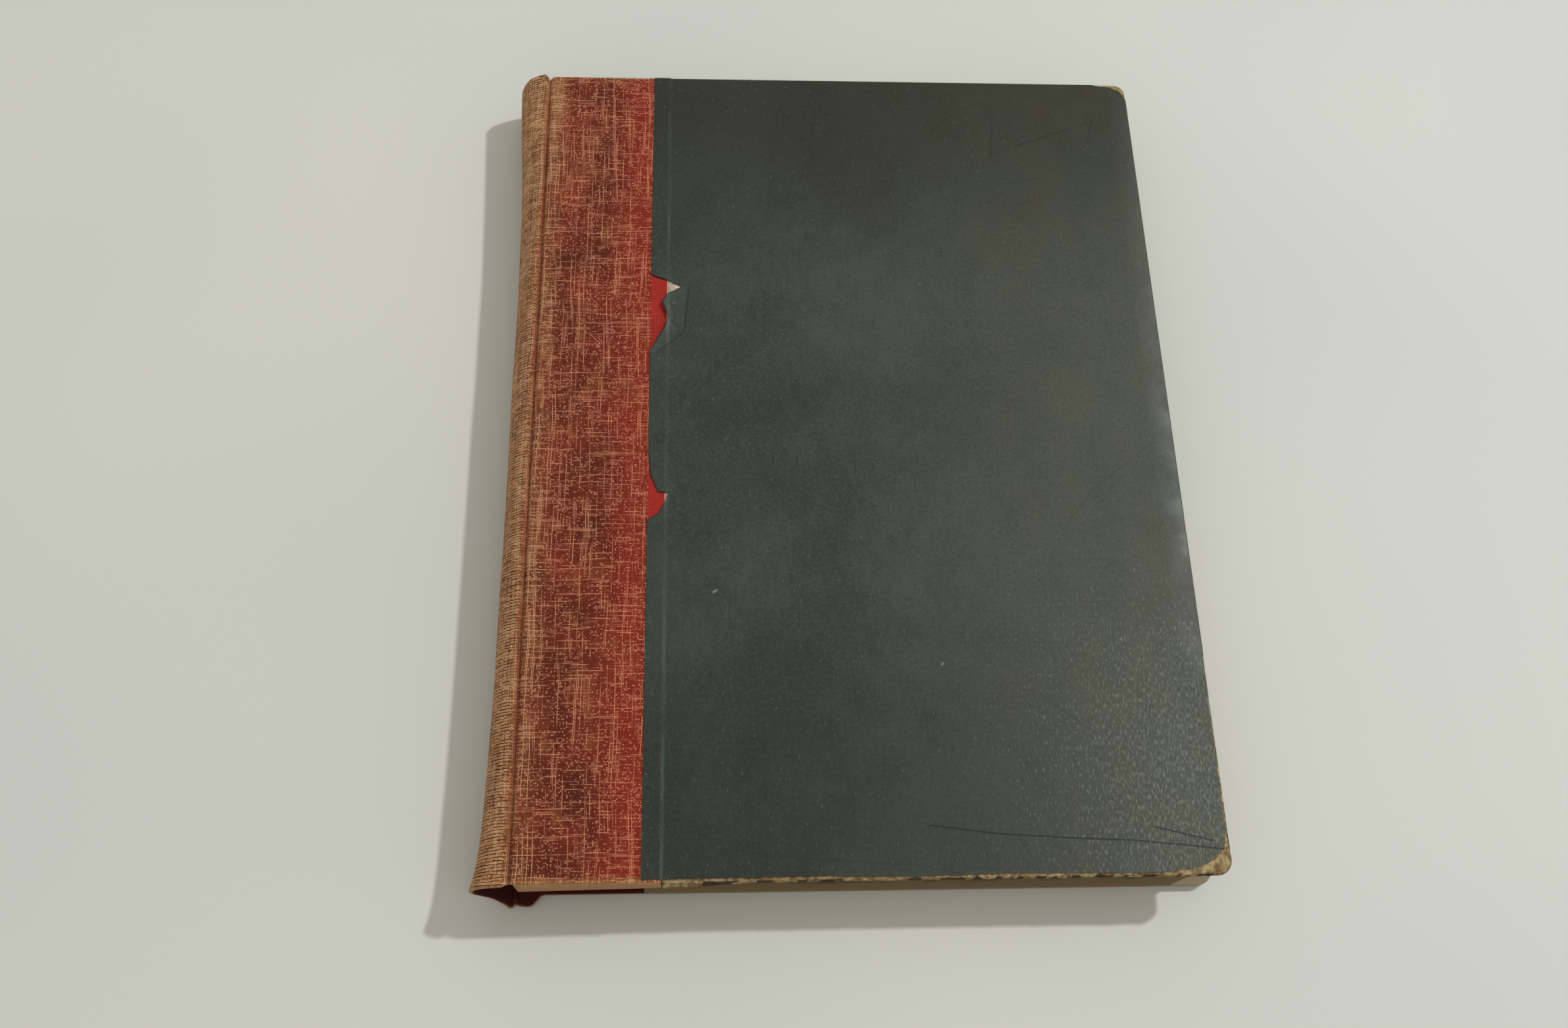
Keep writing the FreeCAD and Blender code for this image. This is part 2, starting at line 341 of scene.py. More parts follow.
# %% [markdown]
# ## The cloth
# One strip of plain-weave cotton covers the spine and laps onto both boards. It is cut flat,
# pasted, laid over the case and turned in round every edge. It could be extruded edge by edge, but
# a strip that is made flat and then laid keeps its flat measures. They become an attribute that
# the weave reads, so the threads follow the cloth round the spine and over the folds.
#
# First comes the section of the case at any height: board, shoulder, crease, shoulder, spine.

# %% The section of the case
crease_depth = 1.0 * MM
crease_slope = math.radians(30)
board_shoulder = 1.2 * MM
spine_shoulder = 0.9 * MM
half_slit = 0.15 * MM
crease_dip = 0.1 * MM
half_spine = math.radians(60)
z_groove = z_out - crease_depth
z_crest = z_out - z_mid - spine_shoulder * (1 - math.cos(math.pi / 2 - half_spine))
spine_bulge = z_crest / math.sin(half_spine) * (1 - math.cos(half_spine))
shoulder_z = z_mid + z_crest - spine_shoulder * math.sin(half_spine)
wall_rise = shoulder_z + spine_shoulder * math.sin(crease_slope) - z_groove
wall_run = wall_rise * math.tan(crease_slope)
shoulder_x = hinge_x - half_slit - wall_run - spine_shoulder * math.cos(crease_slope)
x_crest = shoulder_x - spine_shoulder * math.cos(half_spine)
head_swell, head_reach = 2.3 * MM, 36 * MM
tail_swell, tail_reach = 2.6 * MM, 25 * MM
lip_swell, lip_reach = 1.0 * MM, 4 * MM


def swell(y):
    """How far use has pushed the spine out: the head cap, the tail, and the tail's loose lip."""
    head = head_swell * math.exp(-((y_head - y) / head_reach) ** 2)
    tail = tail_swell * math.exp(-(y - y_tail) / tail_reach)
    lip = lip_swell * math.exp(-(y - y_tail) / lip_reach)
    return head + tail + lip


def spine_circle(y):
    """Middle and radius of the spine's outside at height y, and half the angle that it spans."""
    bulge = spine_bulge + swell(y)
    radius = (z_crest ** 2 + bulge ** 2) / (2 * bulge)
    middle = x_crest - bulge + radius
    return middle, radius, math.atan2(z_crest, middle - x_crest)


def run(a, b, count):
    """Points from a up to b, without b."""
    return [(a[0] + (b[0] - a[0]) * i / count, a[1] + (b[1] - a[1]) * i / count)
            for i in range(count)]


def bow(x, z, radius, start, end, count):
    """Points on an arc of the XZ plane, without the last."""
    turns = [start + (end - start) * i / count for i in range(count)]
    return [(x + radius * math.cos(t), z + radius * math.sin(t)) for t in turns]


def joint_section(top):
    """From the board's flat, over its shoulder and down into the crease."""
    z = top - board_shoulder
    drop = z + board_shoulder * math.sin(crease_slope) - z_groove
    x = hinge_x + half_slit + board_shoulder * math.cos(crease_slope)
    x += drop * math.tan(crease_slope)
    wall = (x - board_shoulder * math.cos(crease_slope),
            z + board_shoulder * math.sin(crease_slope))
    foot = (hinge_x + half_slit, z_groove)
    bottom = (hinge_x, z_groove - crease_dip)
    points = run((x_cloth_end, top), (x, top), 38)
    points += bow(x, z, board_shoulder, math.pi / 2, math.pi - crease_slope, 7)
    points += run(wall, foot, 3) + run(foot, bottom, 3)
    return points + run(bottom, (hinge_x - half_slit, z_groove), 3)


def spine_section(y):
    """From the front crease over the shoulder and round the spine to the back crease."""
    middle, radius, reach = spine_circle(y)
    wall = (shoulder_x + spine_shoulder * math.cos(crease_slope),
            shoulder_z + spine_shoulder * math.sin(crease_slope))
    points = run((hinge_x - half_slit, z_groove), wall, 3)
    points += bow(shoulder_x, shoulder_z, spine_shoulder, crease_slope, math.pi - half_spine, 7)
    under = [(x, 2 * z_mid - z) for x, z in reversed(points)]
    points += bow(middle, z_mid, radius, math.pi - reach, math.pi + reach, 44)
    return points + [(x_crest, z_mid - z_crest)] + under


# %% [markdown]
# At head and tail the strip folds over. On a board it turns round the square edge of the board, on
# the hollow spine it folds round the card and makes the rounded head cap, and in the crease the
# doubled cloth sinks in, which leaves the small notch beside the cap. A few numbers that change
# along the section describe all three: the way in, the depth of the fold and how far it bulges.

# %% Folds at head and tail
spine_fold = 1.3 * MM
crease_fold = 0.85 * MM
crease_sunk = 0.7 * MM
cap_raised = 0.9 * MM
board_air = 0.25 * MM
crease_bulge = 0.5 * MM
cap_bulge = 1.4 * MM
board_bulge = 0.45 * MM


def on_spine(x):
    """0 in the crease and on the boards, 1 past the spine's shoulder."""
    return between(hinge_x - x, 0, hinge_x - x_crest)


def way_in(point, y):
    """The direction from the cloth's outside towards the inside of the case."""
    x, z = point
    middle, _, _ = spine_circle(y)
    down = Vector((0, -1 if z > z_mid else 1))
    radial = Vector((middle - x, z_mid - z)).normalized()
    return (down * (1 - on_spine(x)) + radial * on_spine(x)).normalized()


def fold_depth(point):
    """How thick the folded edge is."""
    x, z = point
    on_board = between(x, hinge_x + 0.3 * MM, x_board + 0.4 * MM)
    board_depth = abs(z - z_mid) - (z_in - z_mid)
    if x > x_paper:
        board_depth -= paper_t
    depth = crease_fold + (spine_fold - crease_fold) * on_spine(x)
    return depth + (board_depth - depth) * on_board


def fold_edge(point, way):
    """Where the fold starts at the head or the tail, and how far it bulges past that."""
    x, _ = point
    edge = y_head if way > 0 else y_tail
    on_board = between(x, hinge_x + 0.1 * MM, x_board + 0.8 * MM)
    start = cap_raised * on_spine(x) + (cloth_top - z_out + board_air) * on_board - crease_sunk
    bulge = crease_bulge + (cap_bulge - crease_bulge) * on_spine(x)
    bulge += (board_bulge - crease_bulge) * on_board
    return edge + way * start, bulge


# %% [markdown]
# The tail has had the most wear. The front board's tail edge is crushed outward, most of all by the
# joint, and the lower lip of the spine and the back board's corner sag out of line, so that the
# mouth of the hollow spine shows from above.

# %% Wear of the tail edge
lip_sag = 3.0 * MM
lip_drawn_in = 1.0 * MM
crushed_at_joint = 1.8 * MM
crushed_at_paper = 1.2 * MM


def front_tail(x, z):
    """How far the fold bulges further at the tail, and how far only its lower side does."""
    if z < z_mid:
        lower = min(1.0, (z_mid - z) / z_crest)
        return lip_sag * lower ** 6 - lip_drawn_in * on_spine(x), 0.0
    share = between(x, x_board, x_cloth_end)
    crushed = crushed_at_joint + (crushed_at_paper - crushed_at_joint) * share
    return -lip_drawn_in * on_spine(x), crushed * between(x, x_board, x_board + MM)


def back_tail(x, z):
    """The same for the back board, whose corner by the joint sags out."""
    return lip_sag * (1 - eased(x, hinge_x + 3.5 * MM, hinge_x + 7 * MM)), 0.0


# %% [markdown]
# Now the strip itself. A flat grid is added at its cut size, with its rows closer together near
# the ends. Each point is then laid on the case. Its flat place, in millimetres, is kept in the
# attribute `thread_mm`, whose third number runs from 0 on the outside to 1 where it is turned in.

# %% Laying a strip of cloth
FOLD_STEPS = 9
TURNED_ROWS = (1.5, 4.0, 9.0, 15.0)


def strip_rows(count):
    """Rows of the strip from tail to head: turned in, folded, flat, folded, turned in."""
    flat = []
    for i in range(count + 1):
        even = i / count
        flat.append(0.65 * even + 0.35 * (1 - math.cos(math.pi * even)) / 2)
    fold = [("fold", math.pi * (i + 1) / FOLD_STEPS) for i in range(FOLD_STEPS)]
    turned = [("turned", reach * MM) for reach in TURNED_ROWS]
    tail = [(-1, *step) for step in reversed(fold + turned)]
    head = [(1, *step) for step in fold + turned]
    return tail + [(0, "flat", share) for share in flat] + head


def laid_point(section, column, row, wear, tail_wear):
    """The place of one point of the strip, and its flat measure along the strip."""
    way, kind, amount = row
    at_middle = section(0)[column]
    if kind == "flat":
        low, _ = fold_edge(at_middle, -1)
        high, _ = fold_edge(at_middle, 1)
        y = low + (high - low) * amount
        x, z = section(y)[column]
        inward = way_in((x, z), y)
        lift = wear(x, y, z)
        return (x - inward.x * lift, y, z - inward.y * lift), y
    edge, bulge = fold_edge(at_middle, way)
    more, lower_side = tail_wear(*at_middle) if way < 0 else (0.0, 0.0)
    section_y = edge - way * amount if kind == "turned" else edge
    point = section(section_y)[column]
    depth = fold_depth(point)
    inward = way_in(point, section_y)
    # a fold as thick as a board goes square round its edge, a thin one goes round
    boxy = 1 - 0.5 * between(depth, 1.5 * MM, 2.4 * MM)
    into = depth
    y = section_y
    measure = edge + way * (depth / 2 + bulge + amount)
    if kind == "fold":
        reach = math.sin(amount) ** boxy if amount < math.pi else 0.0
        side = math.copysign(abs(math.cos(amount)) ** boxy, math.cos(amount))
        into = depth / 2 * (1 - side)
        y = edge + way * reach * (bulge + more + lower_side * into / depth)
        measure = edge + way * (depth / 2 + bulge) * amount / math.pi
        into -= wear(point[0], edge, point[1]) * (1 - into / depth)
    return (point[0] + inward.x * into, y, point[1] + inward.y * into), measure


def lay_strip(section, rows, wear, tail_wear, zero_column):
    """Lays a flat grid on the case and gives the cloth its thickness."""
    middle = section(0)
    last = len(middle) - 1
    strip, places = flat_grid(last, len(rows) - 1)
    along = [0.0]
    for a, b in zip(middle, middle[1:]):
        along.append(along[-1] + math.dist(a, b))
    flat = []
    for v, from_left, number in places:
        column, row = last - from_left, rows[number]
        v.co, measure = laid_point(section, column, row, wear, tail_wear)
        inside = {"flat": 0.0, "fold": row[2] / math.pi, "turned": 1.0}[row[1]]
        flat += [(along[zero_column] - along[column]) / MM, (measure - y_tail) / MM, inside]
    threads = strip.data.attributes.new("thread_mm", "FLOAT_VECTOR", "POINT")
    threads.data.foreach_set("vector", flat)
    strip.data.update()
    if sum(p.normal.z * p.area for p in strip.data.polygons if p.center.x > x_board) < 0:
        flip(strip)
    apply_modifier(strip, "SOLIDIFY", thickness=cloth_t, offset=-1)
    return strip


# %% [markdown]
# Use has left the cloth uneven: the spine is a little wavy, the lip at the tail is frayed, and a
# knob of worn cloth stands at the tail end of the joint. Noise with fixed places gives the waves.

# %% Wear of the cloth
wave_height = 0.22 * MM
fray_height = 0.3 * MM
knob_height = 0.5 * MM
knob_width = 1.5 * MM
knob_at = Vector((hinge_x + 1.6 * MM, y_tail + 0.6 * MM))


def wear_of_spine(x, y, z):
    """How far the cloth stands out from its even form."""
    loose = between(hinge_x - x, 0.3 * MM, 3 * MM)
    waves = noise.noise(Vector((x / (9 * MM), y / (26 * MM), z / (9 * MM)))) * wave_height
    end = math.exp(-min(y_head - y, y - y_tail) / (5 * MM))
    frayed = noise.noise(Vector((x, y * 0.4, z)) / (2.2 * MM)) * fray_height * min(1.0, end)
    knob = math.exp(-((Vector((x, y)) - knob_at).length / knob_width) ** 2) * (z > z_mid)
    return loose * (waves + frayed) + knob_height * knob


def wear_of_board(x, y, z):
    """The back cover's cloth lies even."""
    return 0.0


rows = strip_rows(150)
print("rows of the strip", len(rows), "columns", len(joint_section(cloth_top) + spine_section(0)))

# %% [markdown]
# ## The finish of the cloth
# The cloth is a plain weave of cotton, dyed dark red and calendered. Rubbing takes the dye off the
# high threads first, so pale threads and dots show, and on the spine the dye has gone altogether
# and the cloth is tan. The threads are 0.42 mm apart, which is their real size.
#
# The weave comes first, as three patterns: the pale threads, the dark gaps and the height.

# %% Weave
THREAD = 0.42


def thread_tone(add, along, number, length, seed):
    """How pale one thread is: long noise along the thread, and another for each thread."""
    place = add("CombineXYZ", [add("Math DIVIDE", [along, length]),
                               add("Math MULTIPLY", [number, 3.71]), seed])
    return add("TexNoise", [place, None, 1.0, 2.0])


def plain_weave(add, u, v, rubbed):
    """Pale threads, dark gaps and height of a weave; u and v are millimetres along the threads."""
    warp = add("Math DIVIDE", [u, THREAD])
    weft = add("Math DIVIDE", [v, THREAD])
    warp_number = add("Math FLOOR", [warp])
    weft_number = add("Math FLOOR", [weft])
    warp_core = add("Math PINGPONG", [warp, 0.5])
    weft_core = add("Math PINGPONG", [weft, 0.5])

    # the two sets of threads are on top by turns
    over = add("Math PINGPONG", [add("Math", [warp_number, weft_number]), 1.0])
    weft_over = add("MapRange", [over, 0, 1, 0.55, 1])
    warp_over = add("MapRange", [over, 0, 1, 1, 0.55])
    weft_line = add("MapRange", [weft_core, 0.22, 0.4, 0, 1], **SOFT)
    warp_line = add("MapRange", [warp_core, 0.22, 0.4, 0, 1], **SOFT)
    weft_seen = add("Math MULTIPLY", [weft_line, weft_over])
    warp_seen = add("Math MULTIPLY", [warp_line, warp_over])

    # pale threads and dots where the dye has gone
    weft_tone = add("Math", [thread_tone(add, u, weft_number, 9.0, 1.7), rubbed])
    warp_tone = add("Math", [thread_tone(add, v, warp_number, 20.0, 8.3), rubbed])
    weft_pale = add("Math MULTIPLY", [add("MapRange", [weft_tone, 0.56, 0.68, 0, 1]), weft_seen])
    warp_pale = add("Math MULTIPLY", [add("MapRange", [warp_tone, 0.55, 0.66, 0, 1]), warp_seen])
    cell = add("CombineXYZ", [warp_number, weft_number])
    speck = add("Math", [add("TexWhiteNoise", [cell]), rubbed])
    speck = add("MapRange", [speck, 0.76, 1.0, 0, 0.9])
    dots = add("Math MULTIPLY", [add("Math MAXIMUM", [weft_seen, warp_seen]), speck])
    pale = add("Math MAXIMUM", [weft_pale, warp_pale])
    pale = add("Math MAXIMUM", [pale, dots])

    # gaps between pairs of weft threads
    gap_line = add("MapRange", [add("Math PINGPONG", [weft, 1.0]), 0.5, 0.25, 0, 1], **SOFT)
    gap_tone = thread_tone(add, u, weft_number, 2.2, 4.4)
    gap_tone = add("MapRange", [gap_tone, 0.4, 0.5, 0, 1], **SOFT)
    gap = add("Math MULTIPLY", [gap_line, gap_tone])
    return pale, gap, add("Math MAXIMUM", [warp_core, weft_core])


# %% [markdown]
# Then the colours follow the places on the strip, by its flat measures. The dye has gone from the
# spine and from the ends of the joint, it is still fresh where the side paper has been torn away,
# and inside the folds, where no light or hand has reached, it is painted very dark as shade. Shade
# is painted too on the back cover's folded edge and on the left side of the spine.

# %% Book cloth
def book_cloth():
    """Cotton book cloth, rubbed through its dye by long use."""
    material, skin, add = new_material("rubbed plain-weave book cloth", 0.86)
    skin.inputs["Sheen Weight"].default_value = 0.04
    skin.inputs["Specular IOR Level"].default_value = 0.12
    spot = add("Attribute", [], attribute_name="thread_mm").node.outputs["Vector"]
    across, up, turned = add("SeparateXYZ", [spot]).node.outputs
    height = add("SeparateXYZ", [place_mm(add)]).node.outputs[2]

    # where on the book a point lies
    spine = add("MapRange", [across, -0.6, -3.0, 0, 1], **SOFT)
    near_joint = add("MapRange", [across, 9.0, 1.0, 0, 1], **SOFT)
    near_paper = add("MapRange", [across, 17.0, 31.0, 0, 0.7], **SOFT)
    crease_out = add("MapRange", [across, -1.6, -0.6, 0, 0.5], **SOFT)
    crease_in = add("MapRange", [across, 0.5, 0.0, 0, 1], **SOFT)
    crease = add("Math MULTIPLY", [crease_out, crease_in])
    front = add("MapRange", [height, MIDDLE - 6, MIDDLE, 0, 1])
    tail_end = add("MapRange", [up, 1.8, 0.3, 0, 0.95], **SOFT)
    head_end = add("MapRange", [up, 250.6, 252.2, 0, 0.7], **SOFT)
    ends = add("Math MAXIMUM", [tail_end, head_end])
    ends = add("Math MULTIPLY", [ends, front])
    uncovered = add("Math SUBTRACT", [1.0, ends])
    fresh = add("MapRange", [across, 33.9, 34.1, 0, 0.9], **SOFT)
    fresh = add("Math MULTIPLY", [fresh, uncovered])
    raw_edge = add("MapRange", [across, 38.6, 38.8, 0, 1], **SOFT)
    raw_edge = add("Math MULTIPLY", [raw_edge, uncovered])
    lip = add("MapRange", [turned, 0.08, 0.25, 0, 1], **SOFT)
    # inside the folds the cloth is painted very dark, as shade
    fold_inside_shade = add("MapRange", [turned, 0.62, 0.72, 0, 1], **SOFT)
    by_head = add("MapRange", [up, 215, 252, 0, 0.55], **SOFT)
    by_head = add("Math MULTIPLY", [by_head, add("MapRange", [across, 9, 3.5, 0, 1], **SOFT)])
    worn = add("Math MAXIMUM", [spine, ends])
    worn = add("Math MAXIMUM", [worn, by_head])

    # the red of the boards and the tan of the spine
    patches = clouds(add, spot, 15, 3.0)
    red = add("ValToRGB", [patches], [(0.34, "#4c1f17"), (0.5, "#602619"), (0.66, "#732d1e")])
    dust = add("MapRange", [clouds(add, spot, 8, 3.0, (0.7, 1.4, 1)), 0.52, 0.68, 0, 0.4], **SOFT)
    dust = add("Math MULTIPLY_ADD", [near_joint, 0.3, dust])
    dust = add("Math MULTIPLY", [dust, add("Math SUBTRACT", [1.0, near_paper])])
    red = tinted(add, red, ((near_paper, "#85291d"), (dust, "#85532f")))
    tan_tone = clouds(add, spot, 11, 3.0, (0.5, 1.6, 1))
    tan = add("ValToRGB", [tan_tone], [(0.32, "#764a2a"), (0.5, "#8d5e38"), (0.68, "#a5784e")])
    # the left side of the spine, away from the lamp, is painted darker as shade
    painted_shade_left = add("MapRange", [across, -8.5, -16.0, 0, 0.4], **SOFT)
    tan = add("MixRGB", [painted_shade_left, tan, "#664429"])

    # threads, pulled a little out of line, palest where the cloth is rubbed most
    drift = clouds(add, spot, 30, 1.0)
    u = add("Math MULTIPLY_ADD", [drift, 2.4, across])
    v = add("Math MULTIPLY_ADD", [drift, 1.6, up])
    rubbed = add("MapRange", [clouds(add, spot, 5, 3.0), 0.3, 0.7, -0.035, 0.035])
    rubbed = add("Math MULTIPLY_ADD", [near_joint, 0.05, rubbed])
    rubbed = add("Math MULTIPLY_ADD", [spine, 0.03, rubbed])
    pale, gap, weave = plain_weave(add, u, v, rubbed)
    pale = add("Math MULTIPLY", [pale, add("Math SUBTRACT", [1.0, crease])])
    gap = add("Math MULTIPLY", [gap, add("MapRange", [spine, 0, 1, 0.35, 1])])
    thread = tinted(add, "#e29b77", ((near_joint, "#d6ab83"), (worn, "#e4be94")))

    # the folded edge is rubbed smooth on the front; on the back it is still red, and painted darker
    # as shade
    smooth = add("Math MULTIPLY", [add("Math MULTIPLY", [lip, front]), 0.85])
    back_edge_red_and_shade = add("Math SUBTRACT", [1.0, front])
    back_edge_red_and_shade = add("Math MULTIPLY", [back_edge_red_and_shade, add("MapRange", [across, -3.0, -1.0, 0, 0.8])])
    back_edge_red_and_shade = add("Math MULTIPLY", [back_edge_red_and_shade, lip])
    edge_line = add("Math ABSOLUTE", [add("Math SUBTRACT", [turned, 0.5])])
    edge_line = add("MapRange", [edge_line, 0.13, 0.06, 0, 0.8])
    young = add("ValToRGB", [patches], [(0.35, "#861f1b"), (0.65, "#9e2a25")])
    colour = tinted(add, red, (
        (worn, tan), (crease, "#8c4a2d"), (pale, thread), (gap, "#3c1b0d"), (fresh, young),
        (raw_edge, "#d09a88"), (smooth, "#937757"), (back_edge_red_and_shade, "#4a1d13"), (fold_inside_shade, "#38120e"),
        (edge_line, "#9a7658")))
    join(colour, skin, "Base Color")
    relief(add, skin, add("Math MULTIPLY_ADD", [pale, 0.35, weave]), 0.28)
    return material


# %% Front cloth, with the whole spine
cloth_finish = book_cloth()
crease_column = len(joint_section(cloth_top)) - 3


def front_section(y):
    return joint_section(cloth_top) + spine_section(y)


cloth_front = lay_strip(front_section, rows, wear_of_spine, front_tail, crease_column)
finish_piece(cloth_front, "cloth_front", cloth_finish, 50)
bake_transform(cloth_front)
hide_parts("front_cloth", "spine_cloth")

# %% [markdown]
# The back board has the same cloth, as far as the bottom of the back crease. It is laid as a
# front one and turned over.

# %% Back cloth
back_top = 2 * z_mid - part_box("back_cloth")[0].z


def back_section(y):
    return joint_section(back_top) + [(hinge_x - half_slit, z_groove)]


def turn_over(piece):
    """Mirrors a piece made for the front in the book's middle plane, for the back cover."""
    shape(piece, lambda p: Vector((p.x, p.y, 2 * z_mid - p.z)))
    flip(piece)


cloth_back = lay_strip(back_section, rows, wear_of_board, back_tail, crease_column)
finish_piece(cloth_back, "cloth_back", cloth_finish, 50)
turn_over(cloth_back)
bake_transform(cloth_back)
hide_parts("back_cloth")

# %% [markdown]
# ## Side papers
# A sheet of green coated paper covers the rest of each board. It laps 5 mm over the cloth, is
# folded round the board's other three edges and is turned in. The sheet starts as a block of the
# board's size whose corners and rim are bevelled. The left end and a window underneath are taken
# out, the shell gets the thickness of paper, and a boolean cuts it to what use has left of it.

# %% What is left of the front paper
# The points are millimetres across and up. The tears and the worn tail are measured from the
# paper's corner at the cloth's tail end, and the worn corners from the board's own corners.
UPPER_TEAR = [(0.0, 178.4), (4.6, 176.6), (9.1, 174.3), (4.9, 171.5), (3.4, 168.6), (5.4, 163.0),
              (4.2, 160.0), (0.0, 152.5)]
LOWER_TEAR = [(0.0, 120.6), (0.7, 112.9), (2.8, 107.4), (5.65, 107.0), (4.5, 103.5), (3.1, 100.7),
              (0.0, 98.9)]
WORN_TAIL = [(0.0, 0.6), (37.8, 0.9), (71.6, 0.6), (95.9, 1.0), (128.0, 0.6)]
WORN_CORNER = [(-17.3, 0.9), (-10.2, 1.5), (-6.0, 3.0), (-1.7, 6.3), (-0.8, 10.5), (-0.7, 17.0),
               (-0.4, 34.0), (-0.5, 52.0), (0.9, 70.0)]
WORN_HEAD_CORNER = [(0.9, -8.0), (-0.5, -5.0), (-1.9, -2.5), (-4.6, -1.2), (-9.0, -0.6),
                    (-13.0, 0.9)]
clear = 3 * MM


def from_corner(points, x, y):
    return [(x + across * MM, y + up * MM) for across, up in points]


def left_of_paper():
    """The outline of the worn paper from above; it runs clear of the edges that still wrap."""
    points = from_corner(UPPER_TEAR + LOWER_TEAR + WORN_TAIL, x_paper, y_tail)
    points += from_corner(WORN_CORNER, x_fore, y_tail)
    points += [(x_fore + clear, points[-1][1]),
               (x_fore + clear, y_head + WORN_HEAD_CORNER[0][1] * MM)]
    points += from_corner(WORN_HEAD_CORNER, x_fore, y_head)
    return points + [(points[-1][0], y_head + clear), (x_paper, y_head + clear)]


def ragged(points, step, depth, seed):
    """Breaks an outline into short steps that stray a little, as torn paper does."""
    chance = random.Random(seed)
    broken = []
    for a, b in zip(points, points[1:] + points[:1]):
        length = math.dist(a, b)
        straight = abs(a[0] - x_paper) < TINY and abs(b[0] - x_paper) < TINY
        count = 1 if straight else max(1, round(length / step))
        side = ((b[1] - a[1]) / length, (a[0] - b[0]) / length)
        for i in range(count):
            stray = chance.uniform(-depth, depth) if i else 0.0
            broken.append((a[0] + (b[0] - a[0]) * i / count + side[0] * stray,
                           a[1] + (b[1] - a[1]) * i / count + side[1] * stray))
    return broken


def cutter(points):
    """An upright prism over an outline, as tall as the cover needs."""
    mesh = bpy.data.meshes.new("cutter")
    mesh.from_pydata([(x, y, z_in - clear) for x, y in points], [], [range(len(points))])
    prism = bpy.data.objects.new("cutter", mesh)
    bpy.context.scene.collection.objects.link(prism)
    edit(prism, "FACE")
    bpy.ops.mesh.select_all(action="SELECT")
    bpy.ops.mesh.extrude_region_move(
        TRANSFORM_OT_translate={"value": (0, 0, z_out - z_in + 2 * clear)})
    bpy.ops.mesh.select_all(action="SELECT")
    bpy.ops.mesh.normals_make_consistent(inside=False)
    bpy.ops.object.mode_set(mode="OBJECT")
    return prism


# %% The sheet on one board
board_corner = 3.5 * MM
board_rim = 0.4 * MM
spare_end = 20 * MM


def pasted_sheet(columns, lines):
    """Green paper round one board, before wear; columns and lines are where the grid is cut."""
    low = Vector((x_paper - spare_end, y_tail - paper_t, z_in))
    high = Vector((x_fore + paper_t, y_head + paper_t, z_out + paper_t))
    bpy.ops.object.select_all(action="DESELECT")
    bpy.ops.mesh.primitive_cube_add(size=1.0, location=(low + high) / 2, scale=high - low)
    sheet = bpy.context.object
    bpy.ops.object.transform_apply(location=True, rotation=True, scale=True)
    edit(sheet, "EDGE")
    pick(sheet, "edges", lambda p, e: p.x > x_fore and abs(p.z - (low.z + high.z) / 2) < TINY
         and abs(p.y) > y_head)
    bpy.ops.mesh.bevel(offset=board_corner + paper_t, segments=8, affect="EDGES")
    bpy.ops.mesh.select_all(action="DESELECT")
    pick(sheet, "edges", lambda p, e: p.z > z_out and p.x > low.x + MM
         and all(v.co.z > z_out for v in e.verts))
    bpy.ops.mesh.bevel(offset=board_rim + paper_t, segments=3, affect="EDGES")
    cut_across(sheet, 0, columns + [x_fore - turn_in])
    cut_across(sheet, 1, lines + [y_tail + turn_in, y_head - turn_in])
    bpy.ops.mesh.select_all(action="SELECT")
    bpy.ops.mesh.bisect(plane_co=(x_paper, 0, 0), plane_no=(1, 0, 0), clear_inner=True)
    bpy.ops.mesh.select_all(action="DESELECT")
    pick(sheet, "faces", lambda p, f: f.normal.z < -0.9 and p.x < x_fore - turn_in
         and abs(p.y) < y_head - turn_in)
    bpy.ops.mesh.delete(type="FACE")
    bpy.ops.object.mode_set(mode="OBJECT")
    return sheet


ridge = cloth_top - z_out
ridge_starts, ridge_ends = x_cloth_end - 0.2 * MM, x_cloth_end + 0.5 * MM


def over_cloth(p):
    """The paper stands proud by the ridge where it laps over the cloth."""
    share = 1 - eased(p.x, ridge_starts, ridge_ends)
    if p.z > z_out - MM:
        p.z += ridge * share
    if abs(p.y) > y_head - MM:
        p.y += math.copysign(ridge * share, p.y)
    return p


# %% [markdown]
# Paper that has been torn doesn't lie flat. Beside the upper tear a corner of the sheet has been
# creased twice and stands up, and along every torn edge the paper curls a little.

# %% Creased flap and curled edges
def side_of(p, a, b):
    """Distance of p to the left of the line from a to b."""
    length = math.dist(a, b)
    return ((b[0] - a[0]) * (p[1] - a[1]) - (b[1] - a[1]) * (p[0] - a[0])) / length


def off_segment(p, a, b):
    """Distance of p from the segment between a and b."""
    length = math.dist(a, b)
    share = ((p[0] - a[0]) * (b[0] - a[0]) + (p[1] - a[1]) * (b[1] - a[1])) / length ** 2
    share = min(1.0, max(0.0, share))
    nearest = (a[0] + (b[0] - a[0]) * share, a[1] + (b[1] - a[1]) * share)
    return math.dist((p[0], p[1]), nearest)


FLAP_CREASES = [(10.9, 175.0), (9.9, 158.9), (1.6, 151.6)]
flap = from_corner(FLAP_CREASES, x_paper, y_tail)
torn = [from_corner(points, x_paper, y_tail) for points in (UPPER_TEAR, LOWER_TEAR)]
flap_slope = 0.13
curl = 0.22 * MM
curl_reach = 1.1 * MM
tear_margin = 3 * MM


def lift_torn_paper(p):
    """Raises the flap from its two creases, and the paper beside the tears."""
    if p.z < z_out - 0.1 * MM or p.x > flap[0][0] + 2 * tear_margin:
        return p
    raised = min(side_of(p, flap[1], flap[0]), side_of(p, flap[2], flap[1]))
    if 0 < raised and p.y < flap[0][1] - MM:
        p.z += raised * flap_slope
    for points in torn:
        if points[-1][1] - tear_margin < p.y < points[0][1] + tear_margin:
            away = min(off_segment(p, a, b) for a, b in zip(points, points[1:]))
            p.z += curl * math.exp(-away / curl_reach)
    return p
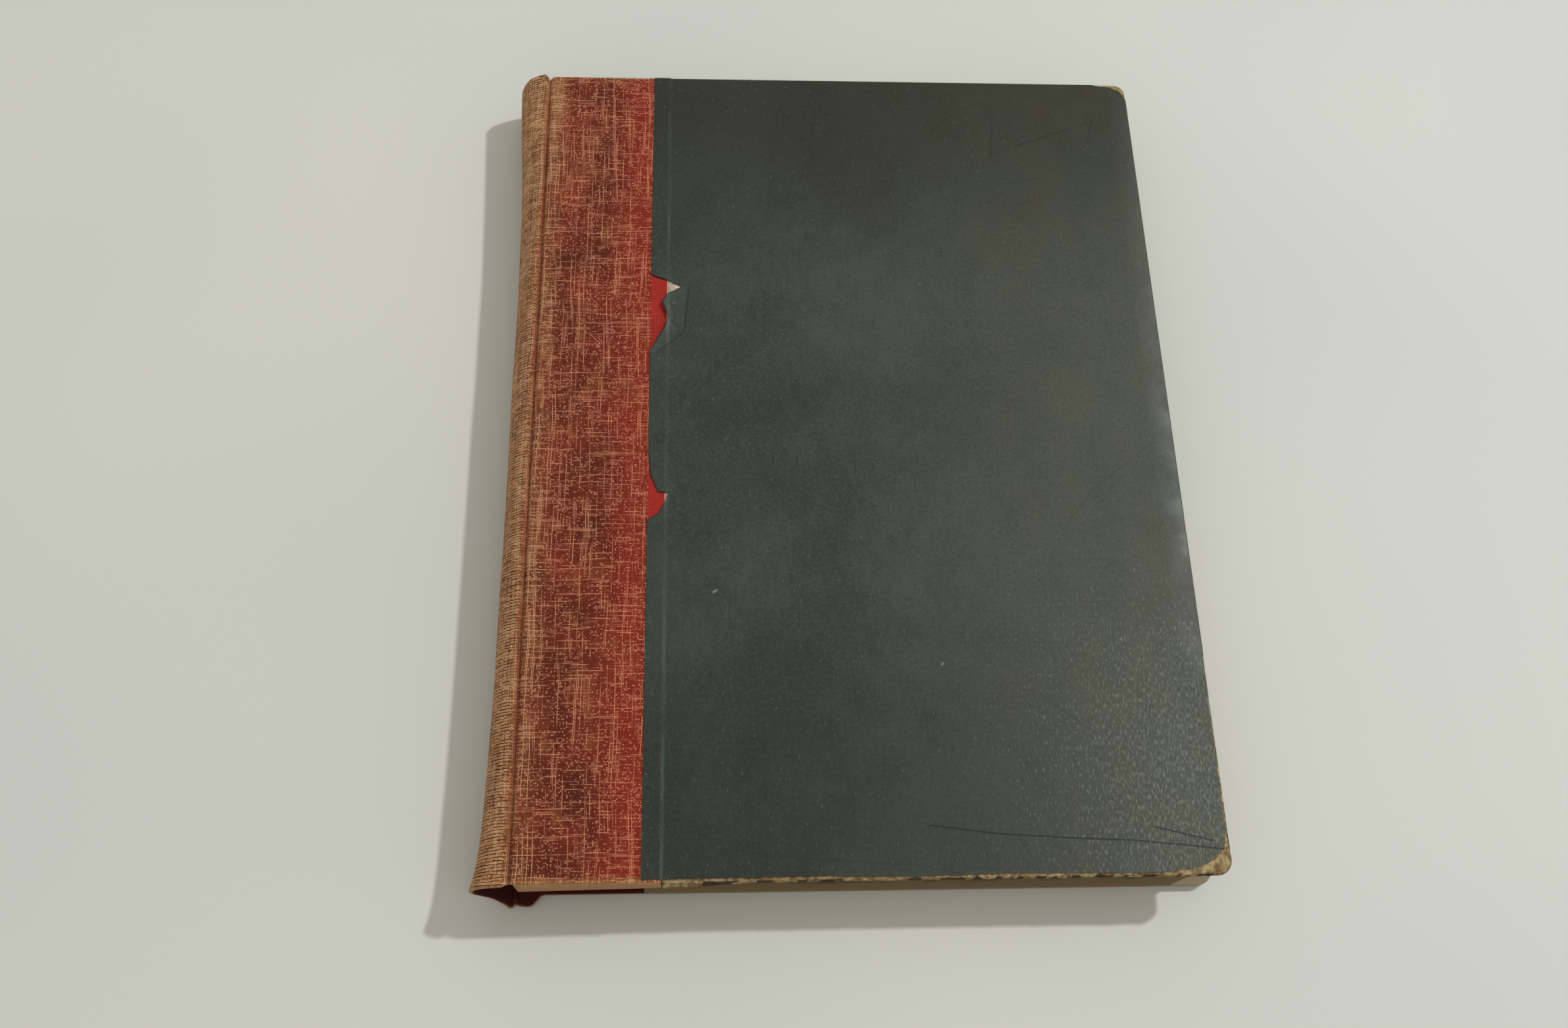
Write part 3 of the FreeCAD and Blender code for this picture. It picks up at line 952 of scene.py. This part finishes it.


# %% [markdown]
# ## The finish of the side papers
# The paper is coated and glazed with a low gloss. It is mottled in dark greens, olive towards the
# head, bluer beside the cloth and darker at the tail. It has short upright strokes where its
# coating is rubbed, with glints painted on them as highlights, and a grey painted sheen at the fore
# corner by the tail. It is worn to tan along the board's edges. A few scored lines and plain
# strokes are drawn by the distance to a straight segment, and so are the painted shadow along the
# tears and the painted shade in the flap's creases.

# %% Thin lines
def thin_line(add, place, start, end, width):
    """1 along a thin straight line between two places in millimetres."""
    length = math.dist(start, end)
    turn = math.atan2(end[1] - start[1], end[0] - start[0])
    spot = add("Mapping", [place, (*start, 0), (0, 0, turn)], vector_type="TEXTURE")
    along, aside, _ = add("SeparateXYZ", [spot]).node.outputs
    aside = add("Math ABSOLUTE", [aside])
    aside = add("MapRange", [aside, width * 0.8, width * 0.3, 0, 1])
    along = add("Math ABSOLUTE", [add("Math SUBTRACT", [along, length / 2])])
    along = add("MapRange", [along, length / 2 + 0.4, length / 2 - 0.4, 0, 1])
    return add("Math MULTIPLY", [aside, along])


def lines_mask(add, place, lines, width):
    """All segments of some bent lines."""
    mask = None
    for line in lines:
        for start, end in zip(line, line[1:]):
            one = thin_line(add, place, start, end, width)
            mask = one if mask is None else add("Math MAXIMUM", [mask, one])
    return mask


# %% Green coated paper
def coated_ground(add, place, x, y):
    """The greens of the paper before it is rubbed."""
    patches = clouds(add, place, 38, 3.0)
    fine = clouds(add, place, 3.0, 3.0, (0.8, 1.6, 1))
    tone = add("Math MULTIPLY_ADD", [fine, 0.35, patches])
    green = add("ValToRGB", [tone], [(0.5, "#2b2f2a"), (0.66, "#2f3831"), (0.84, "#38433b")])
    pale_fore = add("MapRange", [x, RIGHT - 110, RIGHT - 15, 0, 0.85], **SOFT)
    mottle = clouds(add, place, 13, 3.0, (1, 1.3, 1))
    mottle = add("ValToRGB", [mottle], [(0.38, "#34443b"), (0.5, "#3f453d"), (0.62, "#434439")])
    speckle = clouds(add, place, 0.9, 3.0)
    pale_specks = add("MapRange", [speckle, 0.45, 0.7, 0, 0.3])
    dark_specks = add("MapRange", [speckle, 0.5, 0.3, 0, 0.3])
    teal = add("MapRange", [x, LEFT + 20, LEFT + 5, 0, 1], **SOFT)
    teal = add("Math MULTIPLY", [teal, add("MapRange", [patches, 0.42, 0.6, 0.0, 0.4])])
    dark_tail = add("MapRange", [y, TAIL + 80, TAIL + 25, 0, 0.45], **SOFT)
    dark_tail = add("Math MULTIPLY", [dark_tail, add("Math SUBTRACT", [1.0, pale_fore])])
    olive_head = add("MapRange", [y, HEAD - 85, HEAD - 8, 0, 0.8], **SOFT)
    olive = add("MixRGB", [pale_fore, "#24261b", "#27291a"])
    return tinted(add, green, (
        (pale_fore, mottle), (pale_specks, "#474f47"), (dark_specks, "#20261f"),
        (teal, "#263b33"), (dark_tail, "#1f251e"), (olive_head, olive)))


def side_paper_finish(name, marks):
    """Paper coated with green pigment and glazed, rubbed along its edges and at the fore corner."""
    material, skin, add = new_material(name, 0.45)
    skin.inputs["Specular IOR Level"].default_value = 0.25
    place = place_mm(add)
    x, y, z = add("SeparateXYZ", [place]).node.outputs

    # the coating is rubbed in short upright strokes, most of all at the tail and fore corner, and
    # their pale glints are painted highlights
    strokes = clouds(add, place, 0.9, 3.0, (0.5, 1.6, 1))
    corner_x = add("MapRange", [x, RIGHT - 75, RIGHT - 8, 0, 0.17], **SOFT)
    corner_y = add("MapRange", [y, TAIL + 110, TAIL + 30, 0, 1], **SOFT)
    rub_and_painted_glints = add("Math MULTIPLY_ADD", [corner_x, corner_y, strokes])
    rub_and_painted_glints = add("MapRange", [rub_and_painted_glints, 0.62, 0.84, 0, 0.6], **SOFT)
    # a grey painted sheen lies over the tail and fore corner
    grey = add("Math MULTIPLY", [corner_x, corner_y])
    grey = add("MapRange", [grey, 0, 0.17, 0, 0.2])

    # the ridge over the cloth's edge is rubbed pale
    ridge = add("Math ABSOLUTE", [add("Math SUBTRACT", [x, x_cloth_end / MM])])
    ridge = add("MapRange", [ridge, 0.7, 0.1, 0, 1], **SOFT)
    ridge_tone = clouds(add, place, 14, 2.0, (1, 1.5, 1))
    ridge = add("Math MULTIPLY", [ridge, add("MapRange", [ridge_tone, 0.44, 0.62, 0.02, 0.3])])

    # along the edges the colour is worn through to tan
    from_tail = add("Math SUBTRACT", [y, TAIL])
    edge = add("Math MINIMUM", [from_tail, add("Math SUBTRACT", [HEAD, y])])
    edge = add("Math MINIMUM", [edge, add("Math SUBTRACT", [RIGHT, x])])
    edge = add("Math MULTIPLY_ADD", [clouds(add, place, 4, 4.0), 2.6, edge])
    edge = add("MapRange", [edge, 1.3, 0.7, 0, 0.7], **SOFT)

    # a shelved book stands on its tail edges, so the back cover is worn there as well
    shelf = add("Math MULTIPLY_ADD", [clouds(add, place, 6, 3.0), 3.0, from_tail])
    shelf = add("MapRange", [shelf, 4.6, 3.2, 0, 0.9], **SOFT)
    shelf = add("Math MULTIPLY", [shelf, add("Math LESS_THAN", [z, MIDDLE])])
    colour = tinted(add, coated_ground(add, place, x, y), (
        (rub_and_painted_glints, "#7a8077"), (grey, "#565a52"), (ridge, "#4d625a"), (edge, "#6d6046"),
        (shelf, "#85775c")))

    # the marks are on the outside of the front cover only
    for lines, width, strength, tint in marks:
        mask = lines_mask(add, place, lines, width)
        mask = add("Math MULTIPLY", [mask, add("Math GREATER_THAN", [z, MIDDLE])])
        mask = add("Math MULTIPLY", [mask, strength])
        colour = add("MixRGB", [mask, colour, tint])
    join(colour, skin, "Base Color")

    gloss = add("MapRange", [clouds(add, place, 9, 3.0), 0.35, 0.65, 0.4, 0.55])
    join(gloss, skin, "Roughness")
    pebble = clouds(add, place, 0.9, 2.0, (0.6, 1.5, 1))
    grain = clouds(add, place, 6, 2.0, (0.5, 2.0, 1))
    relief(add, skin, add("Math MULTIPLY_ADD", [grain, 1.2, pebble]), 0.09)
    return material


# %% Marks on the front cover
# The lines are millimetres across from the paper's left edge and up from the tail. Each group has
# its width in millimetres, its strength and its tint.
SCORED = [[(74.0, 13.4), (92.0, 11.0), (113.0, 9.6), (127.0, 8.9), (138.0, 7.8), (151.0, 6.3)],
          [(133.0, 12.3), (148.0, 8.5)]]
FAINT = [[(24.0, 7.7), (38.0, 5.6), (56.0, 4.3), (72.0, 3.2), (83.0, 0.6)],
         [(116.7, 95.0), (126.6, 107.8), (146.5, 123.4)]]
# the flap's lines are painted shade in its creases
FLAP_CREASE_SHADE = [[(11.2, 174.4), (9.9, 158.9), (1.6, 151.6)], [(5.8, 162.8), (8.6, 159.8)]]
FLECKS = [[(18.3, 77.3), (19.3, 78.1)], [(80.0, 56.4), (80.5, 56.9)]]
STROKES = [[(108.2, 240.6), (106.3, 222.8)], [(114.6, 227.4), (134.4, 234.9)],
           [(140.3, 238.4), (138.0, 229.2)]]
# the dark lines along the two tears are painted shadow beside the torn edges
MARKS = ((SCORED, 0.4, 0.8, "#141c19"), (FLECKS, 0.5, 0.5, "#a3a99f"),
         (FLAP_CREASE_SHADE, 0.35, 0.75, "#141a17"), ((UPPER_TEAR, LOWER_TEAR), 0.5, 0.7, "#101512"),
         (FAINT, 0.3, 0.4, "#20261f"), (STROKES, 0.55, 0.6, "#231d18"))
marks = [([[(LEFT + across, TAIL + up) for across, up in line] for line in lines], *look)
         for lines, *look in MARKS]
print("groups of marks", len(marks))

# %% [markdown]
# The front sheet is cut finely beside the two tears and coarsely elsewhere. It gets the ridge over
# the cloth's edge, is cut to its worn outline and is lifted by the tears. The back sheet is whole.

# %% Front side paper
front_paper_finish = side_paper_finish("semi-gloss green coated paper", marks)
coarse = 7 * MM
fine = 0.6 * MM
beside_tears = x_paper + 12 * MM
x_lines = evenly(x_paper, beside_tears, fine) + evenly(beside_tears, x_fore, coarse)
y_lines = []
y_from = y_tail
for y_to, step in ((y_tail + 96 * MM, coarse), (y_tail + 123 * MM, fine),
                   (y_tail + 149 * MM, coarse), (y_tail + 181 * MM, fine), (y_head, coarse)):
    y_lines += evenly(y_from, y_to, step)
    y_from = y_to
paper_front = pasted_sheet(x_lines, y_lines)
shape(paper_front, over_cloth)
apply_modifier(paper_front, "SOLIDIFY", thickness=paper_t, offset=-1)
knife = cutter(ragged(left_of_paper(), 0.7 * MM, 0.11 * MM, 11))
apply_modifier(paper_front, "BOOLEAN", operation="INTERSECT", solver="EXACT", object=knife)
bpy.data.objects.remove(knife)
shape(paper_front, lift_torn_paper)
finish_piece(paper_front, "paper_front", front_paper_finish, 35)
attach(paper_front, "front_cover")
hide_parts("front_side_paper")

# %% Back side paper
back_paper_finish = side_paper_finish("semi-gloss green coated paper, back", [])
x_lines = evenly(x_paper, x_fore, coarse) + [x_cloth_end, x_cloth_end + fine]
paper_back = pasted_sheet(x_lines, evenly(y_tail, y_head, coarse))
apply_modifier(paper_back, "SOLIDIFY", thickness=paper_t, offset=-1)
finish_piece(paper_back, "paper_back", back_paper_finish, 35)
turn_over(paper_back)
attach(paper_back, "back_cover")
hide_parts("back_side_paper")

# %% [markdown]
# ## Boards
# The boards are strawboard, 2.5 mm thick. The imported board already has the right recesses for
# paper, cloth and mull, so a copy of its mesh is taken, the doubled points of its triangles are
# merged, and it is cut finely only where it shows: at the worn corner and along the worn tail.
# There the board is rounded off and fibrous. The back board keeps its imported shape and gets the
# same finish.

# %% Strawboard
def strawboard():
    """Rolled board of straw pulp, grey-brown and frayed where its cover is worn away."""
    material, skin, add = new_material("worn strawboard", 0.88)
    skin.inputs["Specular IOR Level"].default_value = 0.2
    place = place_mm(add)
    x, y, z = add("SeparateXYZ", [place]).node.outputs
    fibre = clouds(add, place, 1.1, 4.0)
    tone = add("Math MULTIPLY_ADD", [clouds(add, place, 7, 3.0), 0.6, fibre])
    colour = add("ValToRGB", [tone], [(0.55, "#55442e"), (0.75, "#7d6a4a"), (0.95, "#ab9872")])
    above = add("Math GREATER_THAN", [z, MIDDLE])

    # layers of pulp show on the edges
    layers = add("MapRange", [clouds(add, place, 1.2, 2.0, (6, 6, 0.3)), 0.5, 0.7, 0, 0.4])

    # dark slits, painted as shade, lie below the front board's edge where the layers have come
    # apart
    slit_shade = add("MapRange", [clouds(add, place, 5, 2.0, (1, 1, 4)), 0.5, 0.54, 0, 0.9])
    below_edge = add("MapRange", [z, z_out / MM - 0.25, z_out / MM - 0.45, 0, 1])
    slit_shade = add("Math MULTIPLY", [slit_shade, below_edge])
    slit_shade = add("Math MULTIPLY", [slit_shade, above])

    # the pale torn core of the paper is left near the tears
    core = add("Math MULTIPLY", [add("Math LESS_THAN", [x, LEFT + 14]), above])
    core = add("Math MULTIPLY", [core, add("MapRange", [y, TAIL + 60, TAIL + 62, 0, 1])])
    pulp = add("ValToRGB", [fibre], [(0.35, "#bdae97"), (0.65, "#dcd2bf")])
    colour = tinted(add, colour, ((layers, "#574429"), (slit_shade, "#241a10"), (core, pulp)))
    join(colour, skin, "Base Color")
    relief(add, skin, fibre, 0.12)
    return material


# %% Worn front board
def worn_board(node, name, region_cuts, wear):
    """A copy of a packed board, cut finely in some regions and worn."""
    board = frame["nodes"][node].copy()
    board.data = board.data.copy()
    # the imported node's own notes don't go with the copy
    for key in list(board.keys()):
        del board[key]
    board.parent = None
    board.name = name
    bpy.context.scene.collection.objects.link(board)
    edit(board, "VERT")
    bpy.ops.mesh.select_all(action="SELECT")
    bpy.ops.mesh.remove_doubles(threshold=TINY)
    for low, high, step in region_cuts:
        for axis in (0, 1):
            cut_across(board, axis, [low[axis], high[axis]])

        def inside(p, f):
            return low[0] < p.x < high[0] and low[1] < p.y < high[1]

        for axis in (0, 1):
            cut_across(board, axis, evenly(low[axis], high[axis], step[axis]), inside)
    bpy.ops.object.mode_set(mode="OBJECT")
    shape(board, wear)
    return board


board_crush = 1.2 * MM
crush_reach = 24 * MM
bare_corner, corner_ends = 14 * MM, 18 * MM
bare_edge, edge_ends = 0.8 * MM, 1.3 * MM
rounding, round_reach = 0.35 * MM, 0.9 * MM
face_depth = 0.5 * MM
side_reach = 0.6 * MM
swollen = 0.05 * MM


def rub_front_board(p):
    """Rounds the bare corner and edges off and roughens them; covered board stays as it is."""
    from_fore, from_tail = x_fore - p.x, p.y - y_tail
    corner = math.dist((p.x, p.y), (x_fore, y_tail))
    bare = max(1 - between(corner, bare_corner, corner_ends),
               1 - between(from_tail, bare_edge, edge_ends), 0.0)
    if p.x < x_cloth_end or not bare:
        return p
    rough = noise.noise(p / (1.3 * MM)) * 0.16 * MM + noise.noise(p / (0.5 * MM)) * 0.07 * MM
    edge = min(from_fore, from_tail)
    if p.z > z_out - face_depth:
        p.z -= bare * (rounding * math.exp(-(edge / round_reach) ** 2) - min(rough, 0))
    side = max(0.0, 1 - edge / side_reach) * bare
    out = Vector((1, 0, 0)) if from_fore < from_tail else Vector((0, -1, 0))
    crushed = board_crush * (1 - between(p.x, x_cloth_end, x_cloth_end + crush_reach))
    low = between(z_out - p.z, 0, z_out - z_in)
    return p + out * side * (rough + swollen + crushed * low)


board_finish = strawboard()
zone = 20 * MM
corner_zone = ((x_fore - zone, y_tail - MM), (x_fore + MM, y_tail + zone), (0.7 * MM, 0.7 * MM))
tail_zone = ((x_cloth_end + 0.05 * MM, y_tail - MM), (x_fore - zone, y_tail + 2.2 * MM),
             (1.2 * MM, 0.5 * MM))
board_front = worn_board("front_board", "board_front", [corner_zone, tail_zone], rub_front_board)
finish_piece(board_front, "board_front", board_finish, 40)
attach(board_front, "front_cover")
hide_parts("front_board")
frame["nodes"]["back_board"].material_slots[0].material = board_finish

# %% [markdown]
# ## Pages
# The text block is 16 sewn gatherings, rounded and backed. Its end is a grid with one row for each
# leaf that shows, which fans out towards the folds as the leaves do. Extruded from tail to head it
# is the whole block. Then every leaf is set a little in or out, so that the edges have real
# grooves and ridges. The number of the leaf stays with each point in the attribute `leaf`.

# %% Shape of the pages
LEAVES = 112
GATHERINGS = 16
BEND_POINTS = 6
FLAT_POINTS = 22
leaves_t = 14.6 * MM
fore_hollow = 2.8 * MM
folds_depth = 2.15 * MM
fold_relief = 0.25 * MM
bend_ends = hinge_x - 0.15 * MM
leaf_stray = 0.12 * MM
gathering_stray = 0.1 * MM


def whole_run(a, b, count):
    """As run, with b."""
    return run(a, b, count) + [b]


def leaf_line(share):
    """The line of one leaf in the section: from its fold, over the shoulder, to the fore edge."""
    radius = z_crest / math.sin(half_spine)
    middle = x_crest - spine_bulge + radius
    dip = 1 - math.sin(math.pi * ((share * GATHERINGS) % 1.0))
    radius -= folds_depth + fold_relief * dip
    turn = math.pi + half_spine - 2 * half_spine * share
    fold = (middle + radius * math.cos(turn), z_mid + radius * math.sin(turn))
    z = z_mid + (share - 0.5) * leaves_t
    hollow = fore_hollow * (1 - ((z - z_mid) / (leaves_t / 2)) ** 2)
    points = []
    for i in range(BEND_POINTS):
        x = fold[0] + (bend_ends - fold[0]) * i / BEND_POINTS
        points.append((x, fold[1] + (z - fold[1]) * eased(i, 0, BEND_POINTS)))
    return points + whole_run((bend_ends, z), (block_high.x - hollow, z), FLAT_POINTS)


def sewn_block():
    """The section's grid of leaves, extruded from tail to head."""
    lines = [leaf_line(i / LEAVES) for i in range(LEAVES + 1)]
    block, places = flat_grid(len(lines[0]) - 1, LEAVES)
    for v, point, number in places:
        x, z = lines[number][point]
        v.co = (x, block_low.y, z)
    leaf = block.data.attributes.new("leaf", "FLOAT", "POINT")
    leaf.data.foreach_set("value", [number for _, _, number in places])
    edit(block, "FACE")
    bpy.ops.mesh.select_all(action="SELECT")
    bpy.ops.mesh.extrude_region_move(
        TRANSFORM_OT_translate={"value": (0, block_high.y - block_low.y, 0)})
    cut_across(block, 1, evenly(block_low.y, block_high.y, 8 * MM))
    bpy.ops.mesh.select_all(action="SELECT")
    bpy.ops.mesh.normals_make_consistent(inside=False)
    bpy.ops.object.mode_set(mode="OBJECT")
    return block


def stray_leaves(block):
    """Sets each leaf a little in or out at its three open edges."""
    chance = random.Random(5)
    strays = [chance.uniform(-leaf_stray, 0.0) for _ in range(LEAVES + 1)]
    for i in range(0, LEAVES + 1, LEAVES // GATHERINGS):
        strays[i] -= gathering_stray
    numbers = block.data.attributes["leaf"].data
    for v, number in zip(block.data.vertices, numbers):
        leaf = round(number.value)
        drift = noise.noise(Vector((v.co.x * 20, v.co.y * 20, leaf * 1.7))) * 0.05 * MM
        stray = strays[leaf] + drift
        if v.co.y < block_low.y + TINY:
            v.co.y -= stray
        elif v.co.y > block_high.y - TINY:
            v.co.y += stray
        if v.co.x > block_high.x - fore_hollow - 0.2 * MM:
            v.co.x += stray
    block.data.update()


# %% Finish of the pages
def page_edges():
    """Book paper cut with a guillotine, toned by age, with dust between the leaves."""
    material, skin, add = new_material("toned book paper, cut edges", 0.9)
    skin.inputs["Specular IOR Level"].default_value = 0.2
    place = place_mm(add)
    leaf = add("Attribute", [], attribute_name="leaf").node.outputs["Fac"]
    tone = clouds(add, place, 16, 4.0)
    colour = add("ValToRGB", [tone], [(0.3, "#a9916a"), (0.5, "#bea880"), (0.7, "#ccb993")])
    by_leaf = add("CombineXYZ", [add("Math MULTIPLY", [leaf, 0.9])])
    by_leaf = add("VectorMath MULTIPLY_ADD", [place, (0.05, 0.05, 0.05), by_leaf])
    dust = add("TexNoise", [by_leaf, None, 1.0, 1.0])
    colour = add("MixRGB", [add("MapRange", [dust, 0.5, 0.7, 0, 0.55]), colour, "#85704d"])
    join(colour, skin, "Base Color")
    leaf_edges = add("Math PINGPONG", [add("Math MULTIPLY", [leaf, 2.0]), 0.5])
    relief(add, skin, leaf_edges, 0.06)
    return material


pages = sewn_block()
stray_leaves(pages)
finish_piece(pages, "pages", page_edges(), 30)
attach(pages, "page_block")
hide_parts("text_block")

# %% [markdown]
# ## Endpapers
# Each endpaper is a folded sheet: one half is pasted inside the board and the other is the first
# or last leaf. The fold lies in the joint.

# %% Shape of the endpapers
fold_x = hinge_x - 0.15 * MM
fold_at = (fold_x, z_mid + leaves_t / 2 + 0.14 * MM)
paste_z = z_in - 0.075 * MM
leaf_z = z_mid + leaves_t / 2 + 0.07 * MM
pastedown_t = 0.1 * MM
flyleaf_t = 0.09 * MM
square = 3 * MM
end_right = x_fore - square


def lay_leaf(section, thickness):
    """A flat grid laid along a section, from the tail of the block to its head."""
    sheet, places = flat_grid(len(section) - 1, 48)
    height = block_high.y - block_low.y
    for v, point, _ in places:
        x, z = section[point]
        v.co = (x, v.co.y * height, z)
    if sheet.data.polygons[0].normal.z < 0:
        flip(sheet)
    apply_modifier(sheet, "SOLIDIFY", thickness=thickness, offset=0)
    return sheet


def paste_section():
    """From the fold up into the joint, over the board's inner edge and across the board."""
    bends = [(-0.2, 0.25), (0.1, 0.5), (0.6, 0.45), (0.95, 0.15)]
    points = [fold_at] + [(hinge_x + x * MM, z_in + z * MM) for x, z in bends]
    points.append((x_board + 0.1 * MM, paste_z))
    return points + whole_run((x_board + 0.6 * MM, paste_z), (end_right, paste_z), 40)


def leaf_section():
    """From the fold straight across the pages, with more points over the 12 mm beside the joint."""
    bend = hinge_x + 12 * MM
    points = [fold_at, (hinge_x + 0.1 * MM, leaf_z + 0.02 * MM)]
    points += run((hinge_x + 0.6 * MM, leaf_z), (bend, leaf_z), 14)
    return points + whole_run((bend, leaf_z), (end_right, leaf_z), 34)


# %% Finish of the endpapers
def endpaper_finish():
    """Wove paper as it comes off the machine, toned at the fore edge and darker towards the joint.
    """
    material, skin, add = new_material("toned wove endpaper", 0.85)
    skin.inputs["Specular IOR Level"].default_value = 0.25
    place = place_mm(add)
    x = add("SeparateXYZ", [place])
    tone = clouds(add, place, 45, 4.0)
    colour = add("ValToRGB", [tone], [(0.3, "#cbbb98"), (0.5, "#d8cbab"), (0.7, "#dfd4b8")])
    spots = add("MapRange", [clouds(add, place, 5, 4.0), 0.66, 0.76, 0, 0.5])
    fore = add("MapRange", [x, end_right / MM - 12, end_right / MM, 0, 0.45])
    gutter = add("MapRange", [x, hinge_x / MM + 16, hinge_x / MM + 3, 0, 0.3])
    colour = tinted(add, colour, ((spots, "#a98458"), (fore, "#b39b6f"), (gutter, "#a68f66")))
    join(colour, skin, "Base Color")
    relief(add, skin, clouds(add, place, 0.6, 3.0), 0.03)
    return material


end_finish = endpaper_finish()
paste_reach = x_board - fold_x
leaf_reach = 9.6 * MM
parts = (("pastedown", paste_section(), pastedown_t, paste_reach),
         ("flyleaf", leaf_section(), flyleaf_t, -leaf_reach))
for side in ("front", "back"):
    for part, section, thickness, reach in parts:
        sheet = lay_leaf(section, thickness)
        finish_piece(sheet, part + "_" + side, end_finish, 40)
        if side == "back":
            turn_over(sheet)
        if part == "pastedown":
            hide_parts(side + "_pastedown")
        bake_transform(sheet)

# %% [markdown]
# ## Linings
# Under the cloth a card keeps the spine round. Open cotton mull and brown paper are glued to the
# backs of the pages. They show only through the open head and tail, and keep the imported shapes.

# %% Finishes of the linings
def mull_finish():
    """Open cotton cloth stiffened with starch, its threads 1.2 mm apart."""
    material, skin, add = new_material("sized open-weave mull", 0.9)
    place = place_mm(add)
    x, y, z = add("SeparateXYZ", [place]).node.outputs
    one = add("Math PINGPONG", [add("Math", [x, z]), 0.6])
    thread = add("Math MAXIMUM", [one, add("Math PINGPONG", [y, 0.6])])
    colour = add("ValToRGB", [thread], [(0.3, "#8d7c5c"), (0.5, "#d3c8ab")])
    join(colour, skin, "Base Color")
    relief(add, skin, thread, 0.2)
    return material


def plain_lining(name, dark, light, size):
    """Paper or card as it comes off the machine, cloudy and a little uneven."""
    material, skin, add = new_material(name, 0.9)
    tone = clouds(add, place_mm(add), size, 4.0)
    join(add("ValToRGB", [tone], [(0.3, dark), (0.7, light)]), skin, "Base Color")
    relief(add, skin, tone, 0.08)
    return material


mull = mull_finish()
for node, finish in (("spine_mull", mull), ("front_mull_wing", mull), ("back_mull_wing", mull),
                     ("spine_lining", plain_lining("brown kraft lining", "#7a5836", "#9c7549", 2)),
                     ("spine_liner", plain_lining("thin grey card", "#6f6656", "#8d8370", 3))):
    frame["nodes"][node].material_slots[0].material = finish
